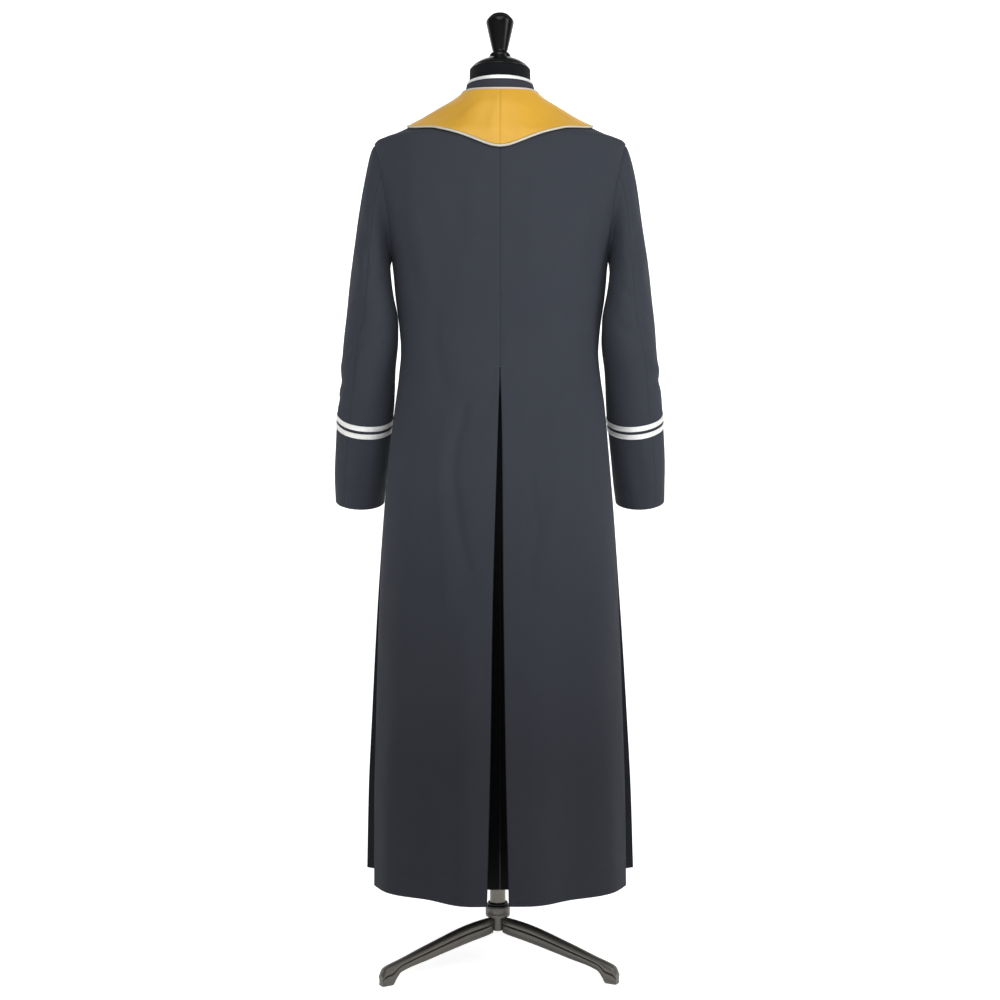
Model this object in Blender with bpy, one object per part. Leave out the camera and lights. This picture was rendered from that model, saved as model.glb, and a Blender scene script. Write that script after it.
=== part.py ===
"""A cassock on a tailor's form, seen from behind in the photograph.

Metres, +Z up, floor at z = 0. The front of the garment looks along -Y, the back along +Y,
and the wearer's left is +X. Every cloth panel is a thin wall: its outer face follows one
body surface, read from the section table below, and its inner face lies one cloth
thickness further in. A turn of 0 degrees is the centre back, 90 the side, 180 the centre
front. A level is a height read at the side; towards the neck the front drops below it.
"""
import math

import bmesh
import bpy
from mathutils import Matrix, Vector

for leftover in list(bpy.data.objects):
    bpy.data.objects.remove(leftover, do_unlink=True)

# Driving heights
HEM_Z = 0.155
WAIST_Z = 1.040
UNDERARM_Z = 1.235
SHOULDER_Z = 1.440
NECK_SIDE_Z = 1.528
NECK_BACK_Z = 1.5205
NECK_FRONT_Z = 1.452
NECK_DROP_FROM = 1.300

# Cloth
CLOTH = 0.0016
CAPE_CLOTH = 0.0012
SEAM = 0.0003
FOLD_GAP = 0.0008
FOLD_RADIUS = FOLD_GAP / 2 + CLOTH / 2
WAIST_TACK = 0.010
LAP = 0.020
LAP_RAMP = 0.018
LAP_ROOM = 0.0015

# Body sections: level, half width left, half width right, back y, front y, widest y, squareness
SECTIONS = (
    (0.155, 0.2395, 0.2400, 0.200, -0.245, -0.050, 0.010),
    (0.300, 0.2355, 0.2345, 0.188, -0.230, -0.045, 0.010),
    (0.436, 0.2285, 0.2265, 0.176, -0.212, -0.040, 0.010),
    (0.570, 0.2212, 0.2178, 0.162, -0.194, -0.034, 0.012),
    (0.660, 0.2155, 0.2112, 0.151, -0.181, -0.029, 0.014),
    (0.811, 0.2042, 0.2000, 0.130, -0.158, -0.020, 0.018),
    (0.900, 0.1955, 0.1922, 0.116, -0.142, -0.014, 0.020),
    (0.985, 0.1848, 0.1842, 0.104, -0.126, -0.009, 0.020),
    (1.035, 0.1780, 0.1770, 0.099, -0.118, -0.007, 0.020),
    (1.075, 0.1745, 0.1735, 0.098, -0.116, -0.006, 0.020),
    (1.115, 0.1770, 0.1762, 0.101, -0.118, -0.006, 0.020),
    (1.170, 0.1840, 0.1840, 0.110, -0.124, -0.005, 0.020),
    (1.235, 0.1905, 0.1905, 0.121, -0.130, -0.005, 0.020),
    (1.280, 0.2015, 0.2015, 0.127, -0.131, -0.005, 0.020),
    (1.336, 0.2125, 0.2125, 0.129, -0.127, -0.004, 0.020),
    (1.390, 0.2190, 0.2190, 0.124, -0.116, -0.002, 0.015),
    (1.440, 0.2210, 0.2210, 0.112, -0.100, 0.000, 0.000),
    (1.457, 0.1855, 0.1855, 0.105, -0.094, 0.000, -0.030),
    (1.478, 0.1435, 0.1435, 0.096, -0.086, 0.000, -0.045),
    (1.499, 0.1070, 0.1070, 0.086, -0.079, 0.000, -0.035),
    (1.514, 0.0808, 0.0808, 0.076, -0.074, 0.000, -0.015),
    (1.528, 0.0637, 0.0637, 0.066, -0.070, 0.000, 0.000),
)

# Pleats: level, centre opening, centre depth, centre fold width,
# side turn, side opening, side depth (openings are half widths at the fold edges)
PLEATS = (
    (0.155, 0.0175, 0.1050, 0.0520, 78.0, 0.0640, 0.078),
    (0.390, 0.0122, 0.0800, 0.0450, 79.0, 0.0420, 0.066),
    (0.580, 0.0096, 0.0500, 0.0400, 81.0, 0.0240, 0.046),
    (0.700, 0.0077, 0.0260, 0.0360, 83.0, 0.0125, 0.024),
    (0.800, 0.0060, 0.0140, 0.0330, 85.0, 0.0060, 0.010),
    (0.900, 0.0040, 0.0100, 0.0300, 87.0, 0.0030, 0.008),
    (0.975, 0.0022, 0.0085, 0.0270, 88.5, 0.0012, 0.007),
    (1.035, 0.0003, 0.0078, 0.0252, 90.0, 0.0003, 0.006),
    (1.040, 0.0003, 0.0078, 0.0250, 90.0, 0.0003, 0.006),
)

# The whole centre pleat hangs a little to the left: drift, level where it starts, length
PLEAT_DRIFT = 0.0033
DRIFT_TOP = 1.00
DRIFT_LENGTH = 0.40

# Soft folds of the skirt: side, turn, spread in degrees, height at the hem, level where it starts
SOFT_FOLDS = (
    (1, 13.0, 8.0, 0.0110, 0.80),
    (1, 31.0, 10.0, -0.0130, 0.85),
    (1, 50.0, 8.0, 0.0040, 0.80),
    (-1, 13.0, 8.0, 0.0070, 0.80),
    (-1, 30.0, 10.0, -0.0130, 0.88),
    (-1, 50.0, 8.0, 0.0040, 0.85),
    (1, 117.0, 8.0, 0.0050, 0.85),
    (1, 136.0, 10.0, 0.0045, 0.75),
    (-1, 119.0, 8.0, 0.0050, 0.80),
    (-1, 140.0, 10.0, 0.0045, 0.88),
)

# Armhole: an oval in turn and level
ARM_MIDDLE = (UNDERARM_Z + SHOULDER_Z) / 2
ARM_HEIGHT = (SHOULDER_Z - UNDERARM_Z) / 2
ARM_BACK = 23.0
ARM_FRONT = 28.0
ARM_STEPS = 16

# Sleeve: height, inner x, outer x, middle y, half depth, tilt (back edge lower), twist,
# drop of the inner side, slant of the back edge towards the body
SLEEVE = (
    (1.170, 0.1868, 0.2680, -0.004, 0.073, 0.0, -5.0, 0.00, 0.12),
    (1.130, 0.1800, 0.2725, -0.006, 0.069, 3.0, 2.0, 0.01, 0.14),
    (1.100, 0.1792, 0.2755, -0.009, 0.067, 6.0, 7.0, 0.03, 0.10),
    (1.048, 0.1850, 0.2805, -0.019, 0.062, 12.0, 6.0, 0.08, 0.03),
    (0.990, 0.1885, 0.2880, -0.036, 0.057, 22.0, 5.0, 0.10, 0.00),
    (0.925, 0.1970, 0.2955, -0.061, 0.054, 26.0, 8.0, 0.10, 0.00),
    (0.860, 0.2050, 0.3000, -0.088, 0.052, 22.0, 10.0, 0.07, 0.00),
    (0.8145, 0.2120, 0.3015, -0.112, 0.050, 19.0, 12.0, 0.05, 0.00),
)
# Sleeve head: pull away from the armhole at the underarm, what the shoulder adds, the lean of
# that pull to the side at both, and the pull down where the head runs into the arm
HEAD_PULL = 0.020
HEAD_PULL_MORE = 0.050
HEAD_LEAN_UNDER = 0.9
HEAD_LEAN_OVER = 0.6
HEAD_DROP = 0.9
HEAD_PLACES = (0.0, 0.10, 0.25, 0.45, 0.70, 1.0)
ARM_ROWS = (1.13, 1.09, 1.045, 1.00, 0.925, 0.87)
SEAM_RADIUS = 0.045
HIND_SEAM = 5
FORE_SEAM = 13
BRAID_WIDTH = 0.008
BRAID_GAP = 0.005
BRAID_TOP = 0.9675
BRAID_THICK = 0.0008

# Collar, cape and piping
COLLAR_TOP_Z = 1.5480
COLLAR_FRONT_Z = 1.485
COLLAR_LEAN = 0.115
COLLAR_LEAN_FRONT = 0.070
COLLAR_CUT = 1.0
COLLAR_FOOT = 0.0006
COLLAR_COLUMNS = 28
COLLAR_BRAID_FROM = 0.76
CAPE_LIFT = 0.0024
CAPE_FRONT_CUT = 2.0
NECK_PIPING_RISE = 0.00125
CAPE_ROWS = 5
CAPE_COLUMNS = 16
PIPING = 0.0021
# Lower edge of the cape: turn, level
CAPE_EDGE = (
    (0.0, 1.4146),
    (3.0, 1.4162),
    (5.0, 1.4188),
    (10.0, 1.4272),
    (14.0, 1.4340),
    (19.0, 1.4410),
    (27.0, 1.4468),
    (38.0, 1.4530),
    (55.0, 1.4580),
    (90.0, 1.4710),
    (110.0, 1.4640),
    (125.0, 1.4530),
    (155.0, 1.4050),
    (180.0, 1.3600),
)

# Buttons down the front
BUTTON_RADIUS = 0.0075
BUTTON_THICK = 0.0032
BUTTON_SIDES = 8
BUTTON_COUNT = 14
BUTTON_TOP_Z = 1.330
BUTTON_PITCH = 0.070
BUTTON_LIFT = 0.0006
# Button rings: share of the radius, share of the thickness
BUTTON_RINGS = (
    (1.00, 0.00),
    (1.00, 0.65),
    (0.78, 1.00),
)

# Form and stand
FORM_BASE_Z = 0.770
FORM_TOP_Z = 1.570
NECK_RADIUS = 0.0533
FORM_STEPS = 24
# Room between cloth and form: level, room
FORM_ROOM = (
    (0.155, 0.018),
    (1.040, 0.018),
    (1.235, 0.016),
    (1.390, 0.009),
    (1.440, 0.0055),
    (1.457, 0.0026),
    (1.499, 0.0032),
    (1.514, 0.0052),
    (1.528, 0.0082),
)
# The fronts lap, so the form stands further in there: extra room, turn where it starts, spread
FORM_LAP_ROOM = 0.006
FORM_LAP_TURN = 110.0
FORM_LAP_SPREAD = 50.0
# Form rows: level, what the rounded base is taken in by
FORM_ROWS = (
    (0.770, 0.060),
    (0.770, 0.014),
    (0.776, 0.005),
    (0.786, 0.0),
    (0.860, 0.0),
    (0.950, 0.0),
    (1.040, 0.0),
    (1.100, 0.0),
    (1.170, 0.0),
    (1.235, 0.0),
    (1.290, 0.0),
    (1.336, 0.0),
    (1.370, 0.0),
    (1.405, 0.0),
    (1.425, 0.0),
    (1.440, 0.0),
    (1.457, 0.0),
    (1.478, 0.0),
    (1.499, 0.0),
    (1.514, 0.0),
    (1.528, 0.0),
)
FORM_NECK_PARTS = (0.25, 0.6, 1.0)

# Turned pieces: radius, height
CAP_PROFILE = (
    (0.0, 1.5704),
    (0.0528, 1.5704),
    (0.0534, 1.5716),
    (0.0529, 1.5730),
    (0.0492, 1.5772),
    (0.0447, 1.5812),
    (0.0397, 1.5845),
    (0.0340, 1.5875),
    (0.0274, 1.5900),
    (0.0187, 1.5919),
    (0.0, 1.5921),
)
FINIAL_PROFILE = (
    (0.0, 1.5925),
    (0.0184, 1.5925),
    (0.0186, 1.5970),
    (0.0180, 1.5995),
    (0.0150, 1.6022),
    (0.0131, 1.6045),
    (0.0144, 1.6110),
    (0.0244, 1.6550),
    (0.0241, 1.6580),
    (0.0230, 1.6605),
    (0.0200, 1.6645),
    (0.0166, 1.6682),
    (0.0120, 1.6709),
    (0.0070, 1.6723),
    (0.0, 1.6730),
)
CAP_STEPS = 32
TURNED_STEPS = 20
STAND_X = 0.004
POLE_RADIUS = 0.0137
HUB_Z = 0.1045
POLE_PROFILE = (
    (0.0, 0.1097),
    (POLE_RADIUS, 0.1097),
    (POLE_RADIUS, 0.7697),
    (0.0, 0.7697),
)
RING_PROFILE = (
    (0.0, 0.1048),
    (0.0173, 0.1048),
    (0.0178, 0.1060),
    (0.0175, 0.1093),
    (0.0, 0.1094),
)
HUB_PROFILE = (
    (0.0, 0.0597),
    (0.0095, 0.0597),
    (0.0101, 0.0610),
    (0.0110, 0.0845),
    (0.0205, 0.0845),
    (0.0214, 0.0870),
    (0.0214, 0.1015),
    (0.0200, HUB_Z),
    (0.0, HUB_Z),
)
LEG_ANGLES = (58.4, -61.6, 178.4)
# Stand leg: reach from the pole, top z, bottom z, half width
LEG = (
    (0.0112, 0.0835, 0.0570, 0.0045),
    (0.0210, 0.0830, 0.0555, 0.0082),
    (0.0340, 0.0815, 0.0535, 0.0097),
    (0.0600, 0.0775, 0.0490, 0.0096),
    (0.1400, 0.0555, 0.0320, 0.0090),
    (0.1950, 0.0385, 0.0190, 0.0086),
    (0.2050, 0.0360, 0.0080, 0.0092),
    (0.2110, 0.0345, 0.0000, 0.0100),
    (0.2240, 0.0290, 0.0000, 0.0100),
    (0.2300, 0.0180, 0.0000, 0.0080),
)
# Half of a leg's section: share of the half width, share of the height
LEG_OUTLINE = (
    (0.55, 1.00),
    (1.00, 0.86),
    (1.00, 0.62),
    (0.66, 0.52),
    (0.66, 0.34),
    (0.90, 0.22),
    (0.90, 0.00),
)

SHIFT_Y = 0.0197
MAIN_STEPS = 9
PLEAT_ARC_STEPS = 3
FRONT_CROWDING = 1.15

LOWER_LEVELS = (HEM_Z, 0.27, 0.39, 0.51, 0.62, 0.71, 0.80, 0.88, 0.95, 1.00, WAIST_Z)
MIDDLE_LEVELS = (WAIST_Z + WAIST_TACK, 1.09, 1.16)
SHOULDER_LEVELS = (1.457, 1.478, 1.499, 1.514, NECK_SIDE_Z)


def along(table, place):
    """Columns of a table at any place along its first column, smooth and without overshoot."""
    rows = table if table[0][0] < table[-1][0] else table[::-1]
    place = min(max(place, rows[0][0]), rows[-1][0])
    low = max(i for i in range(len(rows) - 1) if rows[i][0] <= place)

    def slope(i, column):
        if i == 0 or i == len(rows) - 1:
            a, b = (0, 1) if i == 0 else (i - 1, i)
            return (rows[b][column] - rows[a][column]) / (rows[b][0] - rows[a][0])
        before = (rows[i][column] - rows[i - 1][column]) / (rows[i][0] - rows[i - 1][0])
        after = (rows[i + 1][column] - rows[i][column]) / (rows[i + 1][0] - rows[i][0])
        return 0.0 if before * after <= 0 else 2 * before * after / (before + after)

    first, second = rows[low], rows[low + 1]
    span = second[0] - first[0]
    t = (place - first[0]) / span
    values = []
    for column in range(1, len(first)):
        rise = (3 - 2 * t) * t * t
        values.append(first[column] * (1 - rise) + second[column] * rise
                      + span * t * (1 - t) ** 2 * slope(low, column)
                      - span * t * t * (1 - t) * slope(low + 1, column))
    return values


def soft(t):
    """Smooth step from 0 to 1."""
    t = min(max(t, 0.0), 1.0)
    return t * t * (3 - 2 * t)


def neckline_z(turn):
    """Height of the neck seam: nearly level round the back, dropping to the front."""
    turn = min(abs(turn), 360.0 - abs(turn))
    if turn <= 90:
        return NECK_BACK_Z + (NECK_SIDE_Z - NECK_BACK_Z) * soft(turn / 90)
    return NECK_SIDE_Z + (NECK_FRONT_Z - NECK_SIDE_Z) * soft((turn - 90) / 90)


def plain_body(side, turn, level):
    """Body surface without the soft folds, on the +X half; the caller mirrors it."""
    level = min(max(level, HEM_Z), NECK_SIDE_Z)
    left, right, back, front, middle, square = along(SECTIONS, level)
    width = left if side > 0 else right
    angle = math.radians(turn)
    depth = (back - middle) if math.cos(angle) > 0 else (middle - front)
    ramp = max(0.0, (level - NECK_DROP_FROM) / (NECK_SIDE_Z - NECK_DROP_FROM))
    return Vector((
        width * (math.sin(angle) + square * math.sin(3 * angle)) / (1 - square),
        middle + depth * (math.cos(angle) - square * math.cos(3 * angle)) / (1 - square),
        level + (neckline_z(turn) - NECK_SIDE_Z) * ramp * ramp))


def facing(side, turn, level):
    """Outward unit normal of the plain body surface."""
    across = plain_body(side, turn + 0.5, level) - plain_body(side, turn - 0.5, level)
    upward = plain_body(side, turn, level + 0.003) - plain_body(side, turn, level - 0.003)
    return upward.cross(across).normalized()


def body(side, turn, level):
    """Outer face of the garment with the skirt's soft folds, on the +X half."""
    out = 0.0
    for fold_side, fold_turn, spread, height, top in SOFT_FOLDS:
        if fold_side == side and level < top:
            swell = math.exp(-((turn - fold_turn) / spread) ** 2)
            out += height * swell * soft((top - level) / (top - HEM_Z))
    return plain_body(side, turn, level) + facing(side, turn, level) * out


def material(name, colour, roughness, metallic=0.0):
    """Principled material, colour as linear red, green, blue."""
    made = bpy.data.materials.new(name)
    made.use_nodes = True
    shader = made.node_tree.nodes["Principled BSDF"]
    shader.inputs["Base Color"].default_value = (*colour, 1.0)
    shader.inputs["Roughness"].default_value = roughness
    shader.inputs["Metallic"].default_value = metallic
    return made


WOOL = material("grey_wool", (0.055, 0.062, 0.075), 0.80)
GOLD = material("gold_satin", (0.70, 0.40, 0.065), 0.45)
SILVER = material("silver_braid", (0.80, 0.80, 0.80), 0.45)
IVORY = material("ivory_piping", (0.62, 0.58, 0.48), 0.55)
HORN = material("grey_button", (0.035, 0.038, 0.045), 0.40)
LINEN = material("black_form_cloth", (0.009, 0.010, 0.013), 0.85)
GLOSS = material("gloss_black", (0.010, 0.010, 0.012), 0.15)
STEEL = material("pole_steel", (0.13, 0.12, 0.105), 0.35, 0.8)
CAST = material("cast_metal", (0.075, 0.072, 0.065), 0.45, 0.7)


def finish(name, mesh_data, surface, smooth_angle=40.0):
    """Object from a bmesh: outward faces, smooth rounds, its own place in the frame."""
    bmesh.ops.recalc_face_normals(mesh_data, faces=mesh_data.faces)
    mesh = bpy.data.meshes.new(name)
    mesh_data.to_mesh(mesh)
    mesh_data.free()
    mesh.transform(Matrix.Translation((0.0, SHIFT_Y, 0.0)))
    mesh.shade_smooth()
    mesh.set_sharp_from_angle(angle=math.radians(smooth_angle))
    mesh.materials.append(surface)
    made = bpy.data.objects.new(name, mesh)
    bpy.context.scene.collection.objects.link(made)
    return made


def wall(name, outer, inner, surface, keep=None, ring=False):
    """Closed wall between two equal grids; keep says which cells are cloth, ring joins the ends.

    Both faces of a cell are split along the same diagonal, so the wall keeps its thickness.
    """
    rows, columns = len(outer), len(outer[0])
    across = columns if ring else columns - 1
    made = bmesh.new()
    cells = {(r, c) for r in range(rows - 1) for c in range(across) if keep is None or keep(r, c)}
    corners = {}

    def corner(face, r, c):
        key = (face, r, c % columns)
        if key not in corners:
            grid = outer if face == 0 else inner
            corners[key] = made.verts.new(grid[r][c % columns])
        return corners[key]

    def length(first, second):
        return (outer[first[0]][first[1] % columns] - outer[second[0]][second[1] % columns]).length

    for r, c in sorted(cells):
        square = ((r, c), (r + 1, c), (r + 1, c + 1), (r, c + 1))
        a, b, d, e = square
        if length(a, d) <= length(b, e):
            halves = ((a, b, d), (a, d, e))
        else:
            halves = ((b, d, e), (b, e, a))
        for half in halves:
            made.faces.new([corner(0, *spot) for spot in half])
            made.faces.new([corner(1, *spot) for spot in reversed(half)])
        beyond = ((r, c - 1), (r + 1, c), (r, c + 1), (r - 1, c))
        for edge in range(4):
            step = beyond[edge]
            if ring:
                step = (step[0], step[1] % across)
            if step in cells:
                continue
            start, end = square[edge], square[(edge + 1) % 4]
            made.faces.new((corner(0, *end), corner(0, *start), corner(1, *start), corner(1, *end)))
    return finish(name, made, surface)


def tube(name, rings, surface, loop=False):
    """Closed solid through equal rings of points, with flat ends or joined end to end."""
    made = bmesh.new()
    rows = [[made.verts.new(point) for point in ring] for ring in rings]
    pairs = list(zip(rows, rows[1:])) + ([(rows[-1], rows[0])] if loop else [])
    for first, second in pairs:
        for i in range(len(first)):
            j = (i + 1) % len(first)
            made.faces.new((first[i], first[j], second[j], second[i]))
    if not loop:
        made.faces.new(list(reversed(rows[0])))
        made.faces.new(rows[-1])
    return finish(name, made, surface)


def turned(name, profile, centre, steps, surface):
    """Solid of revolution: profile is radius and height, its ends on the axis."""
    made = bmesh.new()
    rows = []
    for radius, z in profile:
        if radius == 0:
            rows.append([made.verts.new((centre[0], centre[1], z))])
            continue
        rows.append([made.verts.new((centre[0] + radius * math.cos(math.tau * k / steps),
                                     centre[1] + radius * math.sin(math.tau * k / steps), z))
                     for k in range(steps)])
    for first, second in zip(rows, rows[1:]):
        for k in range(steps):
            n = (k + 1) % steps
            if len(first) == 1:
                made.faces.new((first[0], second[n], second[k]))
            elif len(second) == 1:
                made.faces.new((first[k], first[n], second[0]))
            else:
                made.faces.new((first[k], first[n], second[n], second[k]))
    return finish(name, made, surface)


def mirrored(side, point):
    return Vector((point[0] * side, point[1], point[2]))


def flat(vector):
    """Horizontal unit direction."""
    return Vector((vector[0], vector[1])).normalized()


def spun(vector, degrees):
    """Plan direction turned anticlockwise."""
    cosine = math.cos(math.radians(degrees))
    sine = math.sin(math.radians(degrees))
    return Vector((vector[0] * cosine - vector[1] * sine, vector[0] * sine + vector[1] * cosine))


def degrees_of(vector):
    return math.degrees(math.atan2(vector[1], vector[0]))


def direction(degrees):
    return Vector((math.cos(math.radians(degrees)), math.sin(math.radians(degrees))))


def turn_at(side, turn, level, distance):
    """Turn reached by walking a distance along the section, towards the back when negative."""
    step = (body(side, turn + 0.5, level) - body(side, turn - 0.5, level)).length
    return turn + distance / step


def centre_back_turn(side, level):
    """Turn where the main part of a back panel starts: the seam, or the pleat's fold."""
    if level > WAIST_Z:
        reach = SEAM / 2
    else:
        drift = PLEAT_DRIFT * soft((DRIFT_TOP - level) / DRIFT_LENGTH)
        reach = along(PLEATS, level)[0] + side * drift + FOLD_RADIUS + CLOTH / 2
    return turn_at(side, 0.0, level, reach)


def arm_turn(level, front):
    """Turn of the armhole's border at a level."""
    lift = (level - ARM_MIDDLE) / ARM_HEIGHT
    width = math.sqrt(max(0.0, 1 - lift * lift))
    return 90.0 + (ARM_FRONT if front else -ARM_BACK) * width


def side_turn(side, level, front):
    """Turn where a panel ends at the side: pleat fold, side seam, armhole or shoulder seam."""
    away = 1 if front else -1
    if level > WAIST_Z:
        turn = arm_turn(level, front) if UNDERARM_Z < level < SHOULDER_Z else 90.0
        return turn_at(side, turn, level, away * SEAM / 2)
    mid, opening = along(PLEATS, level)[3:5]
    return turn_at(side, mid, level, away * (opening + FOLD_RADIUS + CLOTH / 2))


def arc_points(centre, start, end, count, inward):
    """Middle points and facings round a fold, from angle start to angle end."""
    points = []
    for k in range(count + 1):
        ray = direction(start + (end - start) * k / count)
        points.append((centre + ray * FOLD_RADIUS, -ray if inward else ray))
    return points


def centre_pleat(side, level):
    """Half of the inverted pleat at the centre back, from its seam to the fold on the panel.

    The underlay runs out to a hidden fold, the return comes back to the visible fold. The
    straight return is the crossed tangent of the two fold circles.
    """
    opening, depth, width = along(PLEATS, level)[0:3]
    turn = centre_back_turn(side, level)
    edge = body(side, turn, level).xy
    out = flat(facing(side, turn, level))
    visible = edge - out * (CLOTH / 2 + FOLD_RADIUS)
    under_y = body(side, 0.0, level).y - depth - CLOTH / 2
    hidden = Vector((width, under_y + FOLD_RADIUS))
    reach = visible - hidden
    swing = math.degrees(math.acos(min(1.0, 2 * FOLD_RADIUS / reach.length)))
    leave = degrees_of(spun(reach, -swing))
    points = [(Vector((SEAM / 2, under_y)), Vector((0.0, 1.0)))]
    points += arc_points(hidden, -90.0, leave, PLEAT_ARC_STEPS, True)
    points += arc_points(visible, leave + 180.0, degrees_of(out), PLEAT_ARC_STEPS, False)[:-1]
    return points


def side_pleat(side, level, front):
    """Fold at the side and the cloth that runs in from it to the pleat's inner seam."""
    mid, opening, depth = along(PLEATS, level)[3:6]
    turn = side_turn(side, level, front)
    edge = body(side, turn, level).xy
    out = flat(facing(side, turn, level))
    fold = edge - out * (CLOTH / 2 + FOLD_RADIUS)
    middle = body(side, mid, level).xy
    inward = -flat(facing(side, mid, level))
    away = spun(inward, 90.0 if front else -90.0)
    end = middle + inward * depth + away * (SEAM / 2 + CLOTH / 2)
    reach = end - fold
    swing = math.degrees(math.acos(min(1.0, FOLD_RADIUS / reach.length)))
    leave = degrees_of(spun(reach, -swing if front else swing))
    start = degrees_of(out)
    if front and leave < start:
        leave += 360.0
    if not front and leave > start:
        leave -= 360.0
    return arc_points(fold, start, leave, PLEAT_ARC_STEPS, False)[1:] + [(end, -away)]


def panel_levels():
    arm = [ARM_MIDDLE - ARM_HEIGHT * math.cos(math.tau * k / ARM_STEPS)
           for k in range(ARM_STEPS // 2 + 1)]
    return list(LOWER_LEVELS) + list(MIDDLE_LEVELS) + arm + list(SHOULDER_LEVELS)


def lap_inset(side, turn, level):
    """The right front tucks under the left one where they lap at the centre front."""
    if side > 0:
        return 0.0
    width = body(side, 90.0, level).x
    distance = width * math.sin(math.radians(180.0 - turn))
    return (CLOTH + LAP_ROOM) * soft((LAP + LAP_RAMP - distance) / LAP_RAMP)


def centre_front_turn(side, level):
    """Turn of a front panel's edge, one lap past the centre front."""
    width = body(side, 90.0, level).x
    return 180.0 + math.degrees(math.asin(LAP / width))


def back_panel(side):
    """Back from neck to hem in one piece, with half the centre pleat and the side pleat."""
    outer, inner = [], []
    levels = panel_levels()
    lead = len(centre_pleat(side, HEM_Z))
    for level in levels:
        row = []
        below = level <= WAIST_Z
        first = centre_back_turn(side, level)
        last = side_turn(side, level, False)
        before = centre_pleat(side, min(level, WAIST_Z))
        after = side_pleat(side, min(level, WAIST_Z), False)
        row += [(p.to_3d() + Vector((0, 0, level)), n.to_3d()) for p, n in before]
        for k in range(MAIN_STEPS + 1):
            turn = first + (last - first) * k / MAIN_STEPS
            normal = facing(side, turn, level)
            if below:
                normal = flat(normal).to_3d()
            row.append((body(side, turn, level) - normal * CLOTH / 2, normal))
        row += [(p.to_3d() + Vector((0, 0, level)), n.to_3d()) for p, n in after]
        outer.append([mirrored(side, p + n * CLOTH / 2) for p, n in row])
        inner.append([mirrored(side, p - n * CLOTH / 2) for p, n in row])
    waist = len(LOWER_LEVELS) - 1
    name = "back_left" if side > 0 else "back_right"
    wall(name, outer, inner, WOOL,
         keep=lambda r, c: r < waist or lead <= c < lead + MAIN_STEPS)


def front_panel(side):
    """Front from neck to hem, lapped past the centre front, with its side pleat."""
    outer, inner = [], []
    for level in panel_levels():
        below = level <= WAIST_Z
        first = centre_front_turn(side, level)
        last = side_turn(side, level, True)
        row = []
        for k in range(MAIN_STEPS + 3):
            turn = first + (last - first) * (k / (MAIN_STEPS + 2)) ** FRONT_CROWDING
            normal = facing(side, turn, level)
            if below:
                normal = flat(normal).to_3d()
            inset = lap_inset(side, turn, level)
            row.append((body(side, turn, level) - normal * (CLOTH / 2 + inset), normal))
        after = side_pleat(side, min(level, WAIST_Z), True)
        row += [(p.to_3d() + Vector((0, 0, level)), n.to_3d()) for p, n in after]
        outer.append([mirrored(side, p + n * CLOTH / 2) for p, n in row])
        inner.append([mirrored(side, p - n * CLOTH / 2) for p, n in row])
    waist = len(LOWER_LEVELS) - 1
    name = "front_left" if side > 0 else "front_right"
    wall(name, outer, inner, WOOL, keep=lambda r, c: r < waist or c < MAIN_STEPS + 2)


def arm_spot(angle):
    """Turn and level on the armhole; 0 is the underarm, 90 the back, 180 the shoulder."""
    swing = math.radians(angle)
    width = ARM_BACK if math.sin(swing) > 0 else ARM_FRONT
    return 90.0 - width * math.sin(swing), ARM_MIDDLE - ARM_HEIGHT * math.cos(swing)


def armhole(side, angle):
    """Point on the armhole with the body's normal and the direction that leaves the panel."""
    turn, level = arm_spot(angle)
    point = body(side, turn, level)
    normal = facing(side, turn, level)
    border = body(side, *arm_spot(angle + 1.0)) - body(side, *arm_spot(angle - 1.0))
    leave = border.cross(normal).normalized()
    if leave.dot(body(side, 90.0, ARM_MIDDLE) + Vector((0.02, 0, 0)) - point) < 0:
        leave = -leave
    return point, normal, leave


def arm_section(angle, height):
    """Point of the hanging sleeve: a tilted oval at a height of the arm's middle line."""
    inner, outer, middle_y, half_depth, tilt, twist, drop, slant = along(SLEEVE, height)
    swing = math.radians(angle + twist)
    half = (outer - inner) / 2
    depth = half_depth * math.sin(swing)
    lean = math.radians(tilt)
    return Vector(((inner + outer) / 2 - half * math.cos(swing) - slant * depth,
                   middle_y + depth * math.cos(lean),
                   height - depth * math.sin(lean) - drop * half * math.cos(swing)))


def sleeve(side, angle, place):
    """Outer face of a sleeve; place runs 0 to 1 over the sleeve head, then down the arm."""
    if place >= 1.0:
        height = SLEEVE[0][0] - (place - 1.0)
        return arm_section(angle, height)
    start, normal, leave = armhole(side, angle)
    start = start + leave * (SEAM + 0.0001)
    end = arm_section(angle, SLEEVE[0][0])
    span = (end - start).length
    below = (arm_section(angle, SLEEVE[0][0] - 0.01) - end) / 0.01
    lift = (1 + math.cos(math.radians(angle))) / 2
    lean = HEAD_LEAN_UNDER * lift + HEAD_LEAN_OVER * (1 - lift)
    away = (leave + Vector((lean, 0, 0))).normalized()
    pull = away * (HEAD_PULL + HEAD_PULL_MORE * (1 - lift))
    drop = below * span * HEAD_DROP
    t = place
    return (start * (2 * t ** 3 - 3 * t * t + 1) + pull * (t ** 3 - 2 * t * t + t)
            + end * (3 * t * t - 2 * t ** 3) + drop * (t ** 3 - t * t))


def sleeve_facing(side, angle, place):
    """Outward normal of a sleeve."""
    if place <= 0.0:
        return armhole(side, angle)[1]
    around = sleeve(side, angle + 1.0, place) - sleeve(side, angle - 1.0, place)
    lower = max(place - 0.004, 0.0)
    downward = sleeve(side, angle, place + 0.004) - sleeve(side, angle, lower)
    normal = around.cross(downward).normalized()
    middle = Vector((0.0, 0.0, 0.0))
    for k in range(8):
        middle += sleeve(side, 45.0 * k, place) / 8
    return normal if normal.dot(sleeve(side, angle, place) - middle) > 0 else -normal


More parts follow.
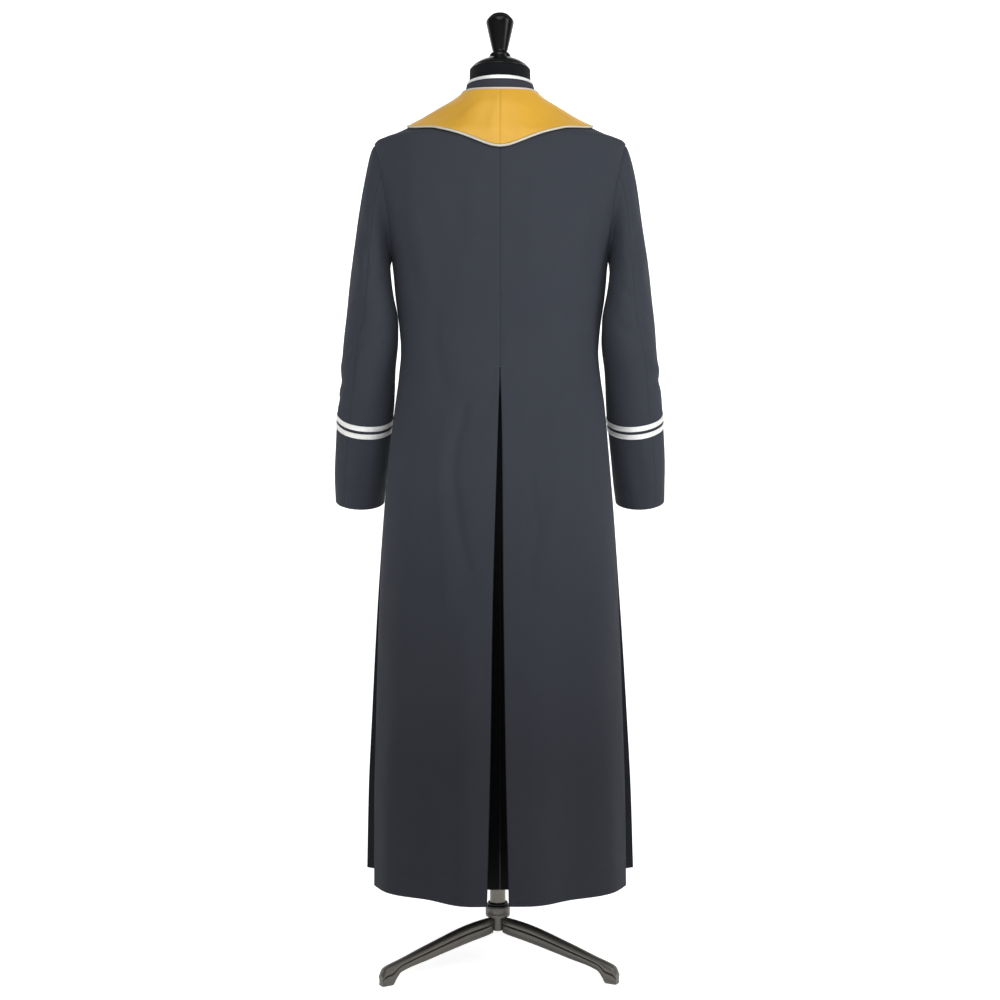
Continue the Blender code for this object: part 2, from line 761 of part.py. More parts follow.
def braid_places():
    """Edges of the two braids on a sleeve, from the upper one down, as places on it."""
    top = 1.0 + SLEEVE[0][0] - BRAID_TOP
    pitch = BRAID_WIDTH + BRAID_GAP
    return [(top, top + BRAID_WIDTH), (top + pitch, top + pitch + BRAID_WIDTH)]


def sleeve_places():
    """Rows of a sleeve from the armhole to the cuff, with one at every edge of a braid."""
    head = list(HEAD_PLACES)
    arm = [1.0 + SLEEVE[0][0] - height for height in ARM_ROWS]
    edges = [edge for pair in braid_places() for edge in pair]
    return sorted(head + arm + edges + [1.0 + SLEEVE[0][0] - SLEEVE[-1][0]])


def sleeve_piece(name, side, first, last):
    """One half of a two-piece sleeve, between two of its long seams."""
    step = 360.0 / ARM_STEPS
    nudge = math.degrees(SEAM / 2 / SEAM_RADIUS)
    outer, inner = [], []
    for place in sleeve_places():
        row_out, row_in = [], []
        for k in range(first, last + 1):
            angle = k * step
            if k == first:
                angle += nudge
            if k == last:
                angle -= nudge
            point = sleeve(side, angle, place)
            normal = sleeve_facing(side, angle, place)
            row_out.append(mirrored(side, point))
            row_in.append(mirrored(side, point - normal * CLOTH))
        outer.append(row_out)
        inner.append(row_in)
    wall(name, outer, inner, WOOL)


def sleeve_braid(name, side, edges):
    """Silver braid round a sleeve, laid on the sleeve's own points."""
    outer, inner = [], []
    for place in edges:
        row_out, row_in = [], []
        for k in range(ARM_STEPS):
            angle = k * 360.0 / ARM_STEPS
            point = sleeve(side, angle, place)
            normal = sleeve_facing(side, angle, place)
            row_in.append(mirrored(side, point + normal * SEAM))
            row_out.append(mirrored(side, point + normal * (SEAM + BRAID_THICK)))
        outer.append(row_out)
        inner.append(row_in)
    wall(name, outer, inner, SILVER, ring=True)


def collar_top_z(turn):
    """Upper edge of the stand collar: level behind, lower in front."""
    turn = abs(turn)
    if turn <= 90:
        return COLLAR_TOP_Z
    return COLLAR_TOP_Z + (COLLAR_FRONT_Z - COLLAR_TOP_Z) * soft((turn - 90) / 90)


def collar(turn, part):
    """Outer face of the stand collar; part runs from 0 at the neck seam to 1 at its top."""
    side = 1 if turn >= 0 else -1
    base = body(side, abs(turn), NECK_SIDE_Z)
    low = base.z + COLLAR_FOOT
    lean = COLLAR_LEAN + (COLLAR_LEAN_FRONT - COLLAR_LEAN) * soft((abs(turn) - 90) / 60)
    lean = 1 - lean * part
    return Vector((base.x * lean * side, base.y * lean, low + (collar_top_z(turn) - low) * part))


def round_turns(cut, count):
    """Signed turns from one front edge round the back to the other."""
    half = 180.0 - cut
    return [half - 2 * half * k / count for k in range(count + 1)]


def collar_band(name, low, high, lift, thick, surface):
    """Band on the stand collar between two parts of its height."""
    outer, inner = [], []
    for part in (low, high):
        row_out, row_in = [], []
        for turn in round_turns(COLLAR_CUT, COLLAR_COLUMNS):
            point = collar(turn, part)
            out = flat(facing(1, abs(turn), NECK_SIDE_Z)).to_3d()
            out.x *= 1 if turn >= 0 else -1
            row_out.append(point + out * lift)
            row_in.append(point + out * (lift - thick))
        outer.append(row_out)
        inner.append(row_in)
    wall(name, outer, inner, surface)


def cape_edge_level(turn):
    return along(CAPE_EDGE, turn)[0]


def neck_piping_offset(side, turn):
    """From the neck seam to the middle of the piping that lies in the collar's corner."""
    out = flat(facing(side, turn, NECK_SIDE_Z)).to_3d()
    return out * (PIPING + 2 * SEAM) + Vector((0.0, 0.0, NECK_PIPING_RISE))


def cape_rows(side, turn):
    """Levels of the cape's rows at a turn, from its neck edge beside the piping downwards."""
    base = body(side, turn, NECK_SIDE_Z)
    down = body(side, turn, NECK_SIDE_Z - 0.002) - base
    reach = neck_piping_offset(side, turn).dot(down.normalized()) + PIPING + SEAM
    upper = NECK_SIDE_Z - 0.002 * reach / down.length
    lower = cape_edge_level(turn)
    return [upper - (upper - lower) * k / CAPE_ROWS for k in range(CAPE_ROWS + 1)]


def cape_turns(side):
    """Turns of the cape's columns, a seam's half gap from the centre back."""
    first = turn_at(side, 0.0, cape_edge_level(0.0), SEAM / 2)
    last = 180.0 - CAPE_FRONT_CUT
    return [first + (last - first) * k / CAPE_COLUMNS for k in range(CAPE_COLUMNS + 1)]


def cape_half(side):
    """Half of the broad cape collar, lying on the shoulders."""
    outer, inner = [], []
    for k in range(CAPE_ROWS + 1):
        row_out, row_in = [], []
        for index, turn in enumerate(cape_turns(side)):
            level = cape_rows(side, turn)[k]
            if index == 0:
                turn = turn_at(side, 0.0, level, SEAM / 2)
            point = body(side, turn, level)
            normal = facing(side, turn, level)
            row_in.append(mirrored(side, point + normal * CAPE_LIFT))
            row_out.append(mirrored(side, point + normal * (CAPE_LIFT + CAPE_CLOTH)))
        outer.append(row_out)
        inner.append(row_in)
    wall("cape_left" if side > 0 else "cape_right", outer, inner, GOLD)


def cape_piping(name):
    """Ivory piping sewn all along the cape's lower edge."""
    rings = []
    for turn in [*reversed(cape_turns(1)), *(-turn for turn in cape_turns(-1))]:
        side = 1 if turn >= 0 else -1
        level = cape_edge_level(abs(turn))
        edge = body(side, abs(turn), level)
        normal = facing(side, abs(turn), level)
        near = body(side, abs(turn) + 1.0, cape_edge_level(abs(turn) + 1.0))
        back = body(side, abs(turn) - 1.0, cape_edge_level(abs(abs(turn) - 1.0)))
        down = normal.cross(near - back).normalized()
        if down.z > 0:
            down = -down
        if abs(turn) < 3.0:
            down = Vector((0.0, down.y, down.z)).normalized()
        centre = edge + normal * (CAPE_LIFT + CAPE_CLOTH / 2) + down * (PIPING + 2 * SEAM)
        ring = []
        for k in range(6):
            ray = math.tau * k / 6
            ring.append(mirrored(side, centre + down * PIPING * math.cos(ray)
                                 + normal * PIPING * 0.8 * math.sin(ray)))
        rings.append(ring)
    tube(name, rings, IVORY)


def neck_piping(name):
    """Ivory piping in the corner between the stand collar and the cape."""
    rings = []
    for turn in [*reversed(cape_turns(1)), *(-turn for turn in cape_turns(-1))]:
        side = 1 if turn >= 0 else -1
        base = body(side, abs(turn), NECK_SIDE_Z)
        out = flat(facing(side, abs(turn), NECK_SIDE_Z)).to_3d()
        centre = base + neck_piping_offset(side, abs(turn))
        ring = []
        for k in range(6):
            ray = math.tau * k / 6
            ring.append(mirrored(side, centre + out * PIPING * math.cos(ray)
                                 + Vector((0, 0, PIPING * math.sin(ray)))))
        rings.append(ring)
    tube(name, rings, IVORY)


def front_button(index):
    """Flat round button on the centre front."""
    z = BUTTON_TOP_Z - BUTTON_PITCH * index
    rows = [body(1, 180.0, level) for level in panel_levels()]
    upper = next(i for i, row in enumerate(rows) if row.z > z)
    below = rows[upper - 1]
    above = rows[upper]
    point = below + (above - below) * (z - below.z) / (above.z - below.z)
    normal = (above - below).cross(Vector((-1.0, 0.0, 0.0))).normalized()
    right = Vector((1.0, 0.0, 0.0))
    up = right.cross(normal).normalized()
    rings = []
    for share, lift in BUTTON_RINGS:
        ring = []
        for k in range(BUTTON_SIDES):
            ray = math.tau * k / BUTTON_SIDES
            spoke = right * math.cos(ray) + up * math.sin(ray)
            ring.append(point + normal * (BUTTON_LIFT + BUTTON_THICK * lift)
                        + spoke * BUTTON_RADIUS * share)
        rings.append(ring)
    tube("button_{:02d}".format(index + 1), rings, HORN)


def form_clearance(turn, level):
    """Room between the garment's outer face and the form, more where the fronts lap."""
    lapped = soft((turn - FORM_LAP_TURN) / FORM_LAP_SPREAD)
    return along(FORM_ROOM, level)[0] + FORM_LAP_ROOM * lapped


def form_torso():
    """Limbless torso with its neck: the garment's own sections, taken in, with a rounded base."""
    rings = []
    for level, tuck in FORM_ROWS:
        ring = []
        for k in range(FORM_STEPS):
            turn = 360.0 * k / FORM_STEPS
            side = 1 if turn <= 180 else -1
            turn = turn if side > 0 else 360.0 - turn
            normal = facing(side, turn, level)
            if level <= WAIST_Z:
                normal = flat(normal).to_3d()
            point = plain_body(side, turn, level)
            ring.append(mirrored(side, point - normal * (form_clearance(turn, level) + tuck)))
        rings.append(ring)
    base = rings[-1]
    for part in FORM_NECK_PARTS:
        ring = []
        pull = 1 - (1 - part) ** 2
        for k in range(FORM_STEPS):
            ray = math.tau * k / FORM_STEPS
            top = Vector((NECK_RADIUS * math.sin(ray), NECK_RADIUS * math.cos(ray), FORM_TOP_Z))
            ring.append(Vector((base[k].x + (top.x - base[k].x) * pull,
                                base[k].y + (top.y - base[k].y) * pull,
                                base[k].z + (top.z - base[k].z) * part)))
        rings.append(ring)
    tube("form_torso", rings, LINEN)


def stand_leg(name, bearing):
    """Cast leg of the tripod: rounded rail on top, a groove along each side, a turned-down foot."""
    around = math.radians(bearing)
    ahead = Vector((math.sin(around), math.cos(around), 0.0))
    across = Vector((ahead.y, -ahead.x, 0.0))
    outline = LEG_OUTLINE + tuple((-w, h) for w, h in reversed(LEG_OUTLINE))
    rings = []
    for reach, top, bottom, half in LEG:
        rings.append([Vector((STAND_X, 0.0, 0.0)) + ahead * reach + across * half * w
                      + Vector((0.0, 0.0, bottom + (top - bottom) * h)) for w, h in outline])
    tube(name, rings, CAST)


for hand, word in ((1, "left"), (-1, "right")):
    back_panel(hand)
    front_panel(hand)
    sleeve_piece("top_sleeve_" + word, hand, HIND_SEAM, FORE_SEAM)
    sleeve_piece("under_sleeve_" + word, hand, FORE_SEAM, HIND_SEAM + ARM_STEPS)
    for place, edges in zip(("upper", "lower"), braid_places()):
        sleeve_braid("braid_{}_{}".format(place, word), hand, edges)
    cape_half(hand)

collar_band("collar_stand", 0.0, 1.0, 0.0, CLOTH, WOOL)
collar_band("collar_braid", COLLAR_BRAID_FROM, 1.0, SEAM + BRAID_THICK, BRAID_THICK, SILVER)
cape_piping("cape_piping")
neck_piping("neck_piping")
for number in range(BUTTON_COUNT):
    front_button(number)

form_torso()
turned("neck_cap", CAP_PROFILE, (0.0, 0.0), CAP_STEPS, GLOSS)
turned("finial", FINIAL_PROFILE, (0.0, 0.0), TURNED_STEPS, GLOSS)
turned("pole", POLE_PROFILE, (STAND_X, 0.0), TURNED_STEPS, STEEL)
turned("pole_ring", RING_PROFILE, (STAND_X, 0.0), TURNED_STEPS, GLOSS)
turned("hub", HUB_PROFILE, (STAND_X, 0.0), TURNED_STEPS, CAST)
for number, bearing in enumerate(LEG_ANGLES):
    stand_leg("leg_{}".format(number + 1), bearing)
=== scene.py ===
"""Looks of a cassock on a dress form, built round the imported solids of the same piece.

Metres, +Z up, floor at z = 0. The back of the garment faces +Y, where the camera stands, and
the wearer's left is +X. A turn of 0 degrees is the centre back, 90 the side, 180 the centre
front. A level is a height read at the side of the body.
"""
import math

import bpy
import numpy as np
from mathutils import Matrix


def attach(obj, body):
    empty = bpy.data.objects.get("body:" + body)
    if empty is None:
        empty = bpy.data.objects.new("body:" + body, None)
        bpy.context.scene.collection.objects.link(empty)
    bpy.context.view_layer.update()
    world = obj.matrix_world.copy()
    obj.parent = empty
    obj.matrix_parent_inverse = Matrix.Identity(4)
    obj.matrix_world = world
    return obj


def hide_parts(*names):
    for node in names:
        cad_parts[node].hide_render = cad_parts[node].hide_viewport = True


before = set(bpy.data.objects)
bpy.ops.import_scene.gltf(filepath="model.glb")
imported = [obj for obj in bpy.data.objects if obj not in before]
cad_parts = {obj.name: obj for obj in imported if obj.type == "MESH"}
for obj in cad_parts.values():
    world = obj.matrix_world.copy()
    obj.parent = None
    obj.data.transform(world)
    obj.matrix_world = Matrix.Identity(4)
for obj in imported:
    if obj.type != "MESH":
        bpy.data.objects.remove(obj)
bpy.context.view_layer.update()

# Tripod foot of the stand
# Three cast legs with a rounded rail on top and a groove along each side, bolted under a
# round hub. Cast metal, tumbled smooth and lacquered a warm grey.
SHIFT_Y = 0.0197
POLE_AXIS = np.array([0.004, SHIFT_Y, 0.0])
LEG_BEARINGS = (58.4, -61.6, 178.4)
LEG_ROWS = 56
# Leg: reach from the pole, top z, bottom z, half width
LEG = (
    (0.0112, 0.0835, 0.0570, 0.0045),
    (0.0210, 0.0830, 0.0555, 0.0082),
    (0.0340, 0.0815, 0.0535, 0.0097),
    (0.0600, 0.0775, 0.0490, 0.0096),
    (0.1400, 0.0555, 0.0320, 0.0090),
    (0.1950, 0.0385, 0.0190, 0.0086),
    (0.2050, 0.0360, 0.0080, 0.0092),
    (0.2110, 0.0345, 0.0000, 0.0100),
    (0.2240, 0.0290, 0.0000, 0.0100),
    (0.2300, 0.0180, 0.0000, 0.0080),
)
# Half outline of a leg: share of the half width, share of the height
LEG_OUTLINE = (
    (0.00, 1.00), (0.36, 0.985), (0.68, 0.94), (0.90, 0.87), (1.00, 0.77), (0.99, 0.67),
    (0.93, 0.61), (0.66, 0.585), (0.55, 0.56), (0.54, 0.535), (0.62, 0.515), (0.82, 0.505),
    (0.87, 0.485), (0.82, 0.46), (0.74, 0.44), (0.71, 0.34), (0.73, 0.22), (0.80, 0.12),
    (0.84, 0.06), (0.80, 0.01), (0.70, 0.00), (0.00, 0.00),
)


def smooth_step(t):
    """Smooth step from 0 to 1."""
    t = np.clip(t, 0.0, 1.0)
    return t * t * (3 - 2 * t)


def along(table, place):
    """Columns of a table at places along its first column, smooth and without overshoot."""
    rows = np.array(table if table[0][0] < table[-1][0] else table[::-1], float)
    at = rows[:, 0]
    values = rows[:, 1:]
    steps = np.diff(values, axis=0) / np.diff(at)[:, None]
    slopes = np.vstack([steps[:1], np.zeros_like(steps[1:]), steps[-1:]])
    product = steps[:-1] * steps[1:]
    total = np.where(product > 0, steps[:-1] + steps[1:], 1.0)
    slopes[1:-1] = np.where(product > 0, 2 * product / total, 0.0)
    place = np.clip(place, at[0], at[-1])
    low = np.clip(np.searchsorted(at, place, side="right") - 1, 0, len(at) - 2)
    span = (at[low + 1] - at[low])[..., None]
    t = (place - at[low])[..., None] / span
    rise = smooth_step(t)
    found = values[low] * (1 - rise) + values[low + 1] * rise
    found = found + span * t * (1 - t) ** 2 * slopes[low]
    found = found - span * t * t * (1 - t) * slopes[low + 1]
    return np.moveaxis(found, -1, 0)


def new_piece(name, points, faces, finish, across=None, smooth_angle=45.0):
    """Mesh object at the origin, faces turned outwards, with a UV map in metres if given."""
    points = np.asarray(points, float).reshape(-1, 3)
    faces = np.asarray(faces)
    corners = points[faces]
    halves = [(0, 1, 2)] if faces.shape[1] == 3 else [(0, 1, 2), (0, 2, 3)]
    volume = sum(np.einsum("ij,ij->i", corners[:, a], np.cross(corners[:, b], corners[:, c])).sum()
                 for a, b, c in halves)
    if volume < 0:
        faces = faces[:, ::-1]
    mesh = bpy.data.meshes.new(name)
    mesh.from_pydata(points.tolist(), [], [list(dict.fromkeys(face)) for face in faces.tolist()])
    if across is not None:
        layer = mesh.uv_layers.new(name="cloth")
        used = np.zeros(len(mesh.loops), int)
        mesh.loops.foreach_get("vertex_index", used)
        layer.data.foreach_set("uv", np.asarray(across, float).reshape(-1, 2)[used].ravel())
    mesh.shade_smooth()
    mesh.set_sharp_from_angle(angle=math.radians(smooth_angle))
    mesh.materials.append(finish)
    piece = bpy.data.objects.new(name, mesh)
    bpy.context.scene.collection.objects.link(piece)
    return piece


def joined_rings(rings, closed_ends=True):
    """Points and faces of a solid through equal closed rings, its ends drawn to a point."""
    rings = np.asarray(rings, float)
    count, around = rings.shape[:2]
    low = np.arange((count - 1) * around).reshape(count - 1, around)
    side = np.roll(low, -1, axis=1)
    faces = np.stack([low, side, side + around, low + around], axis=-1).reshape(-1, 4)
    points = rings.reshape(-1, 3)
    if closed_ends:
        start = np.arange(around)
        end = start + (count - 1) * around
        first, last = len(points), len(points) + 1
        points = np.vstack([points, rings[0].mean(axis=0), rings[-1].mean(axis=0)])
        fan_start = np.stack([np.roll(start, -1), start, np.full(around, first)], axis=-1)
        fan_end = np.stack([end, np.roll(end, -1), np.full(around, last)], axis=-1)
        fans = np.vstack([fan_start, fan_end])
        faces = np.vstack([faces, np.hstack([fans, fans[:, 2:]])])
    return points, faces


def add_node(tree, kind, sockets=None, **settings):
    """New node in a tree: sockets given as sockets are linked, given as values are set."""
    made = tree.nodes.new(kind)
    for key, value in settings.items():
        setattr(made, key, value)
    for key, value in (sockets or {}).items():
        if isinstance(value, bpy.types.NodeSocket):
            tree.links.new(value, made.inputs[key])
        else:
            made.inputs[key].default_value = value
    return made


def new_finish(name, roughness, metallic=0.0, **sockets):
    """Principled finish: its tree and shader, with the values that are the same all over."""
    finish = bpy.data.materials.new(name)
    finish.use_nodes = True
    shader = finish.node_tree.nodes["Principled BSDF"]
    shader.inputs["Roughness"].default_value = roughness
    shader.inputs["Metallic"].default_value = metallic
    for key, value in sockets.items():
        shader.inputs[key.replace("_", " ")].default_value = value
    return finish, finish.node_tree, shader


def object_place(tree):
    """Place on the piece in metres."""
    return add_node(tree, "ShaderNodeTexCoord").outputs["Object"]


def cloth_place(tree):
    """Place on the laid-flat cloth in metres."""
    return add_node(tree, "ShaderNodeUVMap", uv_map="cloth").outputs[0]


def stretched(tree, place, scale):
    return add_node(tree, "ShaderNodeMapping", {"Vector": place, "Scale": scale}).outputs[0]


def noise(tree, place, scale, detail):
    found = add_node(tree, "ShaderNodeTexNoise", {"Vector": place, "Scale": scale, "Detail": detail})
    return found.outputs["Fac"]


def yarn_waves(tree, place, scale, distortion, direction):
    """Even bands, for yarns that lie side by side."""
    found = add_node(tree, "ShaderNodeTexWave", {"Vector": place, "Scale": scale, "Distortion": distortion},
                     wave_type="BANDS", bands_direction=direction)
    return found.outputs["Fac"]


def added(tree, first, second):
    return add_node(tree, "ShaderNodeMath", {0: first, 1: second}, operation="ADD").outputs[0]


def mixed_colour(tree, share, dark, light):
    """Colour between two tones."""
    mix = add_node(tree, "ShaderNodeMix", {0: share}, data_type="RGBA")
    mix.inputs[6].default_value = (*dark, 1.0)
    mix.inputs[7].default_value = (*light, 1.0)
    return mix.outputs[2]


def toned(tree, share, colour, tone, blend="MULTIPLY"):
    """Colour taken towards a tone by a share."""
    mix = add_node(tree, "ShaderNodeMix", {0: share, 6: colour}, data_type="RGBA", blend_type=blend)
    mix.inputs[7].default_value = (*tone, 1.0)
    return mix.outputs[2]


def mottled_colour(tree, shader, place, light, dark, scale, detail=4.0):
    """Base colour that drifts between two tones with a noise."""
    colour = mixed_colour(tree, noise(tree, place, scale, detail), dark, light)
    tree.links.new(colour, shader.inputs["Base Color"])


def uneven_gloss(tree, shader, share, low, high):
    """Roughness between two values."""
    rough = add_node(tree, "ShaderNodeMapRange", {"Value": share, "To Min": low, "To Max": high})
    tree.links.new(rough.outputs[0], shader.inputs["Roughness"])


def raised_grain(tree, shader, height, distance, strength):
    """Bump from a height socket, in metres at full height."""
    bump = add_node(tree, "ShaderNodeBump", {"Height": height, "Distance": distance, "Strength": strength})
    tree.links.new(bump.outputs["Normal"], shader.inputs["Normal"])


def lacquered_casting():
    """Tumbled casting under a thin warm grey lacquer, worn a little brighter in patches."""
    finish, tree, shader = new_finish("lacquered_casting", 0.42, 0.75)
    place = object_place(tree)
    mottled_colour(tree, shader, place, (0.142, 0.134, 0.120), (0.092, 0.087, 0.079), 38.0)
    uneven_gloss(tree, shader, noise(tree, place, 120.0, 3.0), 0.34, 0.55)
    raised_grain(tree, shader, noise(tree, place, 900.0, 2.0), 0.00012, 0.5)
    return finish


CASTING = lacquered_casting()


def stand_leg(name, bearing):
    around = math.radians(bearing)
    ahead = np.array([math.sin(around), math.cos(around), 0.0])
    aside = np.array([ahead[1], -ahead[0], 0.0])
    half = np.array(LEG_OUTLINE)
    outline = np.vstack([half, half[-2:0:-1] * (-1.0, 1.0)])
    share = np.linspace(0.0, 1.0, LEG_ROWS)
    reach = LEG[0][0] + (LEG[-1][0] - LEG[0][0]) * (1 - (1 - share) ** 1.6)
    top, bottom, width = along(LEG, reach)
    rings = (POLE_AXIS + reach[:, None, None] * ahead
             + (width[:, None] * outline[:, 0])[..., None] * aside
             + (bottom[:, None] + (top - bottom)[:, None] * outline[:, 1])[..., None] * (0.0, 0.0, 1.0))
    tip = rings[-1]
    for shrink, onward in ((0.72, 0.0010), (0.35, 0.0014)):
        middle = tip.mean(axis=0)
        rings = np.vstack([rings, [middle + (tip - middle) * shrink + ahead * (onward - 0.0014)]])
    points, faces = joined_rings(rings)
    leg = new_piece(name, points, faces, CASTING, smooth_angle=60.0)
    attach(leg, "root")
    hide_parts(name)


for number, bearing in enumerate(LEG_BEARINGS):
    stand_leg("leg_{}".format(number + 1), bearing)

# Hub, ring and pole
# The hub is turned with the legs and takes the pole in its socket. A black plastic ring
# hides the joint. The pole is drawn steel tube with a warm satin coat.
HUB_TOP_Z = 0.1045
POLE_RADIUS = 0.0137
FORM_BASE_Z = 0.770
GAP = 0.0003
TURNING_STEPS = 72
HUB_PROFILE = (
    (0.0000, 0.0597), (0.0092, 0.0597), (0.0100, 0.0604), (0.0101, 0.0640), (0.0108, 0.0800),
    (0.0113, 0.0845), (0.0196, 0.0845), (0.0207, 0.0852), (0.0214, 0.0868), (0.0214, 0.0912),
    (0.0209, 0.0918), (0.0209, 0.0928), (0.0214, 0.0934), (0.0214, 0.1012), (0.0209, 0.1032),
    (0.0200, HUB_TOP_Z), (0.0000, HUB_TOP_Z),
)
RING_PROFILE = (
    (0.0000, 0.1048), (0.0172, 0.1048), (0.0177, 0.1054), (0.0178, 0.1066), (0.0177, 0.1082),
    (0.0172, 0.1092), (0.0000, 0.1094),
)
POLE_PROFILE = (
    (0.0000, 0.1097), (POLE_RADIUS, 0.1097), (POLE_RADIUS, 0.30), (POLE_RADIUS, 0.52),
    (POLE_RADIUS, FORM_BASE_Z - GAP), (0.0000, FORM_BASE_Z - GAP),
)


def turned_piece(name, profile, axis, finish, smooth_angle=40.0):
    """Piece turned on a lathe: profile is radius and height from end to end."""
    profile = np.array(profile)
    ray = math.tau * np.arange(TURNING_STEPS) / TURNING_STEPS
    rings = np.zeros((len(profile) - 2, TURNING_STEPS, 3))
    rings[..., 0] = axis[0] + profile[1:-1, :1] * np.cos(ray)
    rings[..., 1] = axis[1] + profile[1:-1, :1] * np.sin(ray)
    rings[..., 2] = profile[1:-1, 1:]
    points, faces = joined_rings(rings)
    return new_piece(name, points, faces, finish, smooth_angle=smooth_angle)


def coated_steel():
    """Drawn tube under a warm grey satin coat, with faint lines along its length."""
    finish, tree, shader = new_finish("coated_steel", 0.36, 0.85, Coat_Weight=0.25, Coat_Roughness=0.3)
    drawn = stretched(tree, object_place(tree), (700.0, 700.0, 6.0))
    mottled_colour(tree, shader, drawn, (0.150, 0.139, 0.121), (0.108, 0.101, 0.088), 1.0)
    raised_grain(tree, shader, noise(tree, drawn, 2.0, 2.0), 0.00004, 0.4)
    return finish


def gloss_black(name, roughness):
    """Black lacquer with a faint long wave in the gloss and a little dust."""
    finish, tree, shader = new_finish(name, roughness, 0.0, Specular_IOR_Level=0.16, Coat_Weight=0.04,
                                      Coat_Roughness=0.12)
    place = object_place(tree)
    mottled_colour(tree, shader, place, (0.0045, 0.0048, 0.0054), (0.0028, 0.0030, 0.0035), 45.0)
    raised_grain(tree, shader, noise(tree, place, 60.0, 1.0), 0.00015, 0.25)
    uneven_gloss(tree, shader, noise(tree, place, 260.0, 5.0), roughness * 0.7, roughness * 1.5)
    return finish


BLACK_LACQUER = gloss_black("black_lacquer", 0.20)
STAND_TURNINGS = (
    ("hub", HUB_PROFILE, CASTING, "cast_metal"),
    ("pole_ring", RING_PROFILE, gloss_black("moulded_ring", 0.34), "ring_plastic"),
    ("pole", POLE_PROFILE, coated_steel(), "pole_metal"),
)
for name, profile, finish, slot in STAND_TURNINGS:
    turning = turned_piece(name, profile, POLE_AXIS, finish)
    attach(turning, "root")
    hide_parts(name)

# Body surface of the garment
# The form and every cloth piece follow this one surface: an oval at each level, a neckline
# that falls to the front, and the soft folds in which the skirt hangs.
HEM_Z = 0.155
WAIST_Z = 1.040
UNDERARM_Z = 1.235
SHOULDER_Z = 1.440
NECK_SIDE_Z = 1.528
NECK_BACK_Z = 1.5205
NECK_FRONT_Z = 1.452
NECK_DROP_FROM = 1.300
# Body sections: level, half width left, half width right, back y, front y, widest y, squareness
SECTIONS = (
    (0.155, 0.2395, 0.2400, 0.200, -0.245, -0.050, 0.010),
    (0.300, 0.2355, 0.2345, 0.188, -0.230, -0.045, 0.010),
    (0.436, 0.2285, 0.2265, 0.176, -0.212, -0.040, 0.010),
    (0.570, 0.2212, 0.2178, 0.162, -0.194, -0.034, 0.012),
    (0.660, 0.2155, 0.2112, 0.151, -0.181, -0.029, 0.014),
    (0.811, 0.2042, 0.2000, 0.130, -0.158, -0.020, 0.018),
    (0.900, 0.1955, 0.1922, 0.116, -0.142, -0.014, 0.020),
    (0.985, 0.1848, 0.1842, 0.104, -0.126, -0.009, 0.020),
    (1.035, 0.1780, 0.1770, 0.099, -0.118, -0.007, 0.020),
    (1.075, 0.1745, 0.1735, 0.098, -0.116, -0.006, 0.020),
    (1.115, 0.1770, 0.1762, 0.101, -0.118, -0.006, 0.020),
    (1.170, 0.1840, 0.1840, 0.110, -0.124, -0.005, 0.020),
    (1.235, 0.1905, 0.1905, 0.121, -0.130, -0.005, 0.020),
    (1.280, 0.2015, 0.2015, 0.127, -0.131, -0.005, 0.020),
    (1.336, 0.2125, 0.2125, 0.129, -0.127, -0.004, 0.020),
    (1.390, 0.2190, 0.2190, 0.124, -0.116, -0.002, 0.015),
    (1.440, 0.2210, 0.2210, 0.112, -0.100, 0.000, 0.000),
    (1.457, 0.1855, 0.1855, 0.105, -0.094, 0.000, -0.030),
    (1.478, 0.1435, 0.1435, 0.096, -0.086, 0.000, -0.045),
    (1.499, 0.1070, 0.1070, 0.086, -0.079, 0.000, -0.035),
    (1.514, 0.0808, 0.0808, 0.076, -0.074, 0.000, -0.015),
    (1.528, 0.0637, 0.0637, 0.066, -0.070, 0.000, 0.000),
)
# Soft folds of the skirt: side, turn, spread in degrees, height at the hem, level where it starts
SOFT_FOLDS = (
    (1, 13.0, 8.0, 0.0110, 0.80),
    (1, 31.0, 10.0, -0.0130, 0.85),
    (1, 50.0, 8.0, 0.0040, 0.80),
    (-1, 13.0, 8.0, 0.0070, 0.80),
    (-1, 30.0, 10.0, -0.0130, 0.88),
    (-1, 50.0, 8.0, 0.0040, 0.85),
    (1, 117.0, 8.0, 0.0050, 0.85),
    (1, 136.0, 10.0, 0.0045, 0.75),
    (-1, 119.0, 8.0, 0.0050, 0.80),
    (-1, 140.0, 10.0, 0.0045, 0.88),
)


def neckline_z(turn):
    """Height of the neck seam: nearly level round the back, dropping to the front."""
    turn = np.minimum(np.abs(turn), 360.0 - np.abs(turn))
    behind = NECK_BACK_Z + (NECK_SIDE_Z - NECK_BACK_Z) * smooth_step(turn / 90)
    ahead = NECK_SIDE_Z + (NECK_FRONT_Z - NECK_SIDE_Z) * smooth_step((turn - 90) / 90)
    return np.where(turn <= 90, behind, ahead)


def plain_body(side, turn, level):
    """Points of the body surface without folds, on the +X half; right sizes are used for side -1."""
    turn, level = np.broadcast_arrays(np.asarray(turn, float), np.asarray(level, float))
    level = np.clip(level, HEM_Z, NECK_SIDE_Z)
    left, right, back, front, middle, square = along(SECTIONS, level)
    width = left if side > 0 else right
    angle = np.radians(turn)
    depth = np.where(np.cos(angle) > 0, back - middle, middle - front)
    ramp = np.maximum(0.0, (level - NECK_DROP_FROM) / (NECK_SIDE_Z - NECK_DROP_FROM))
    x = width * (np.sin(angle) + square * np.sin(3 * angle)) / (1 - square)
    y = middle + depth * (np.cos(angle) - square * np.cos(3 * angle)) / (1 - square)
    z = level + (neckline_z(turn) - NECK_SIDE_Z) * ramp ** 2
    return np.stack([x, y, z], axis=-1)


def unit(vectors):
    return vectors / np.linalg.norm(vectors, axis=-1, keepdims=True)


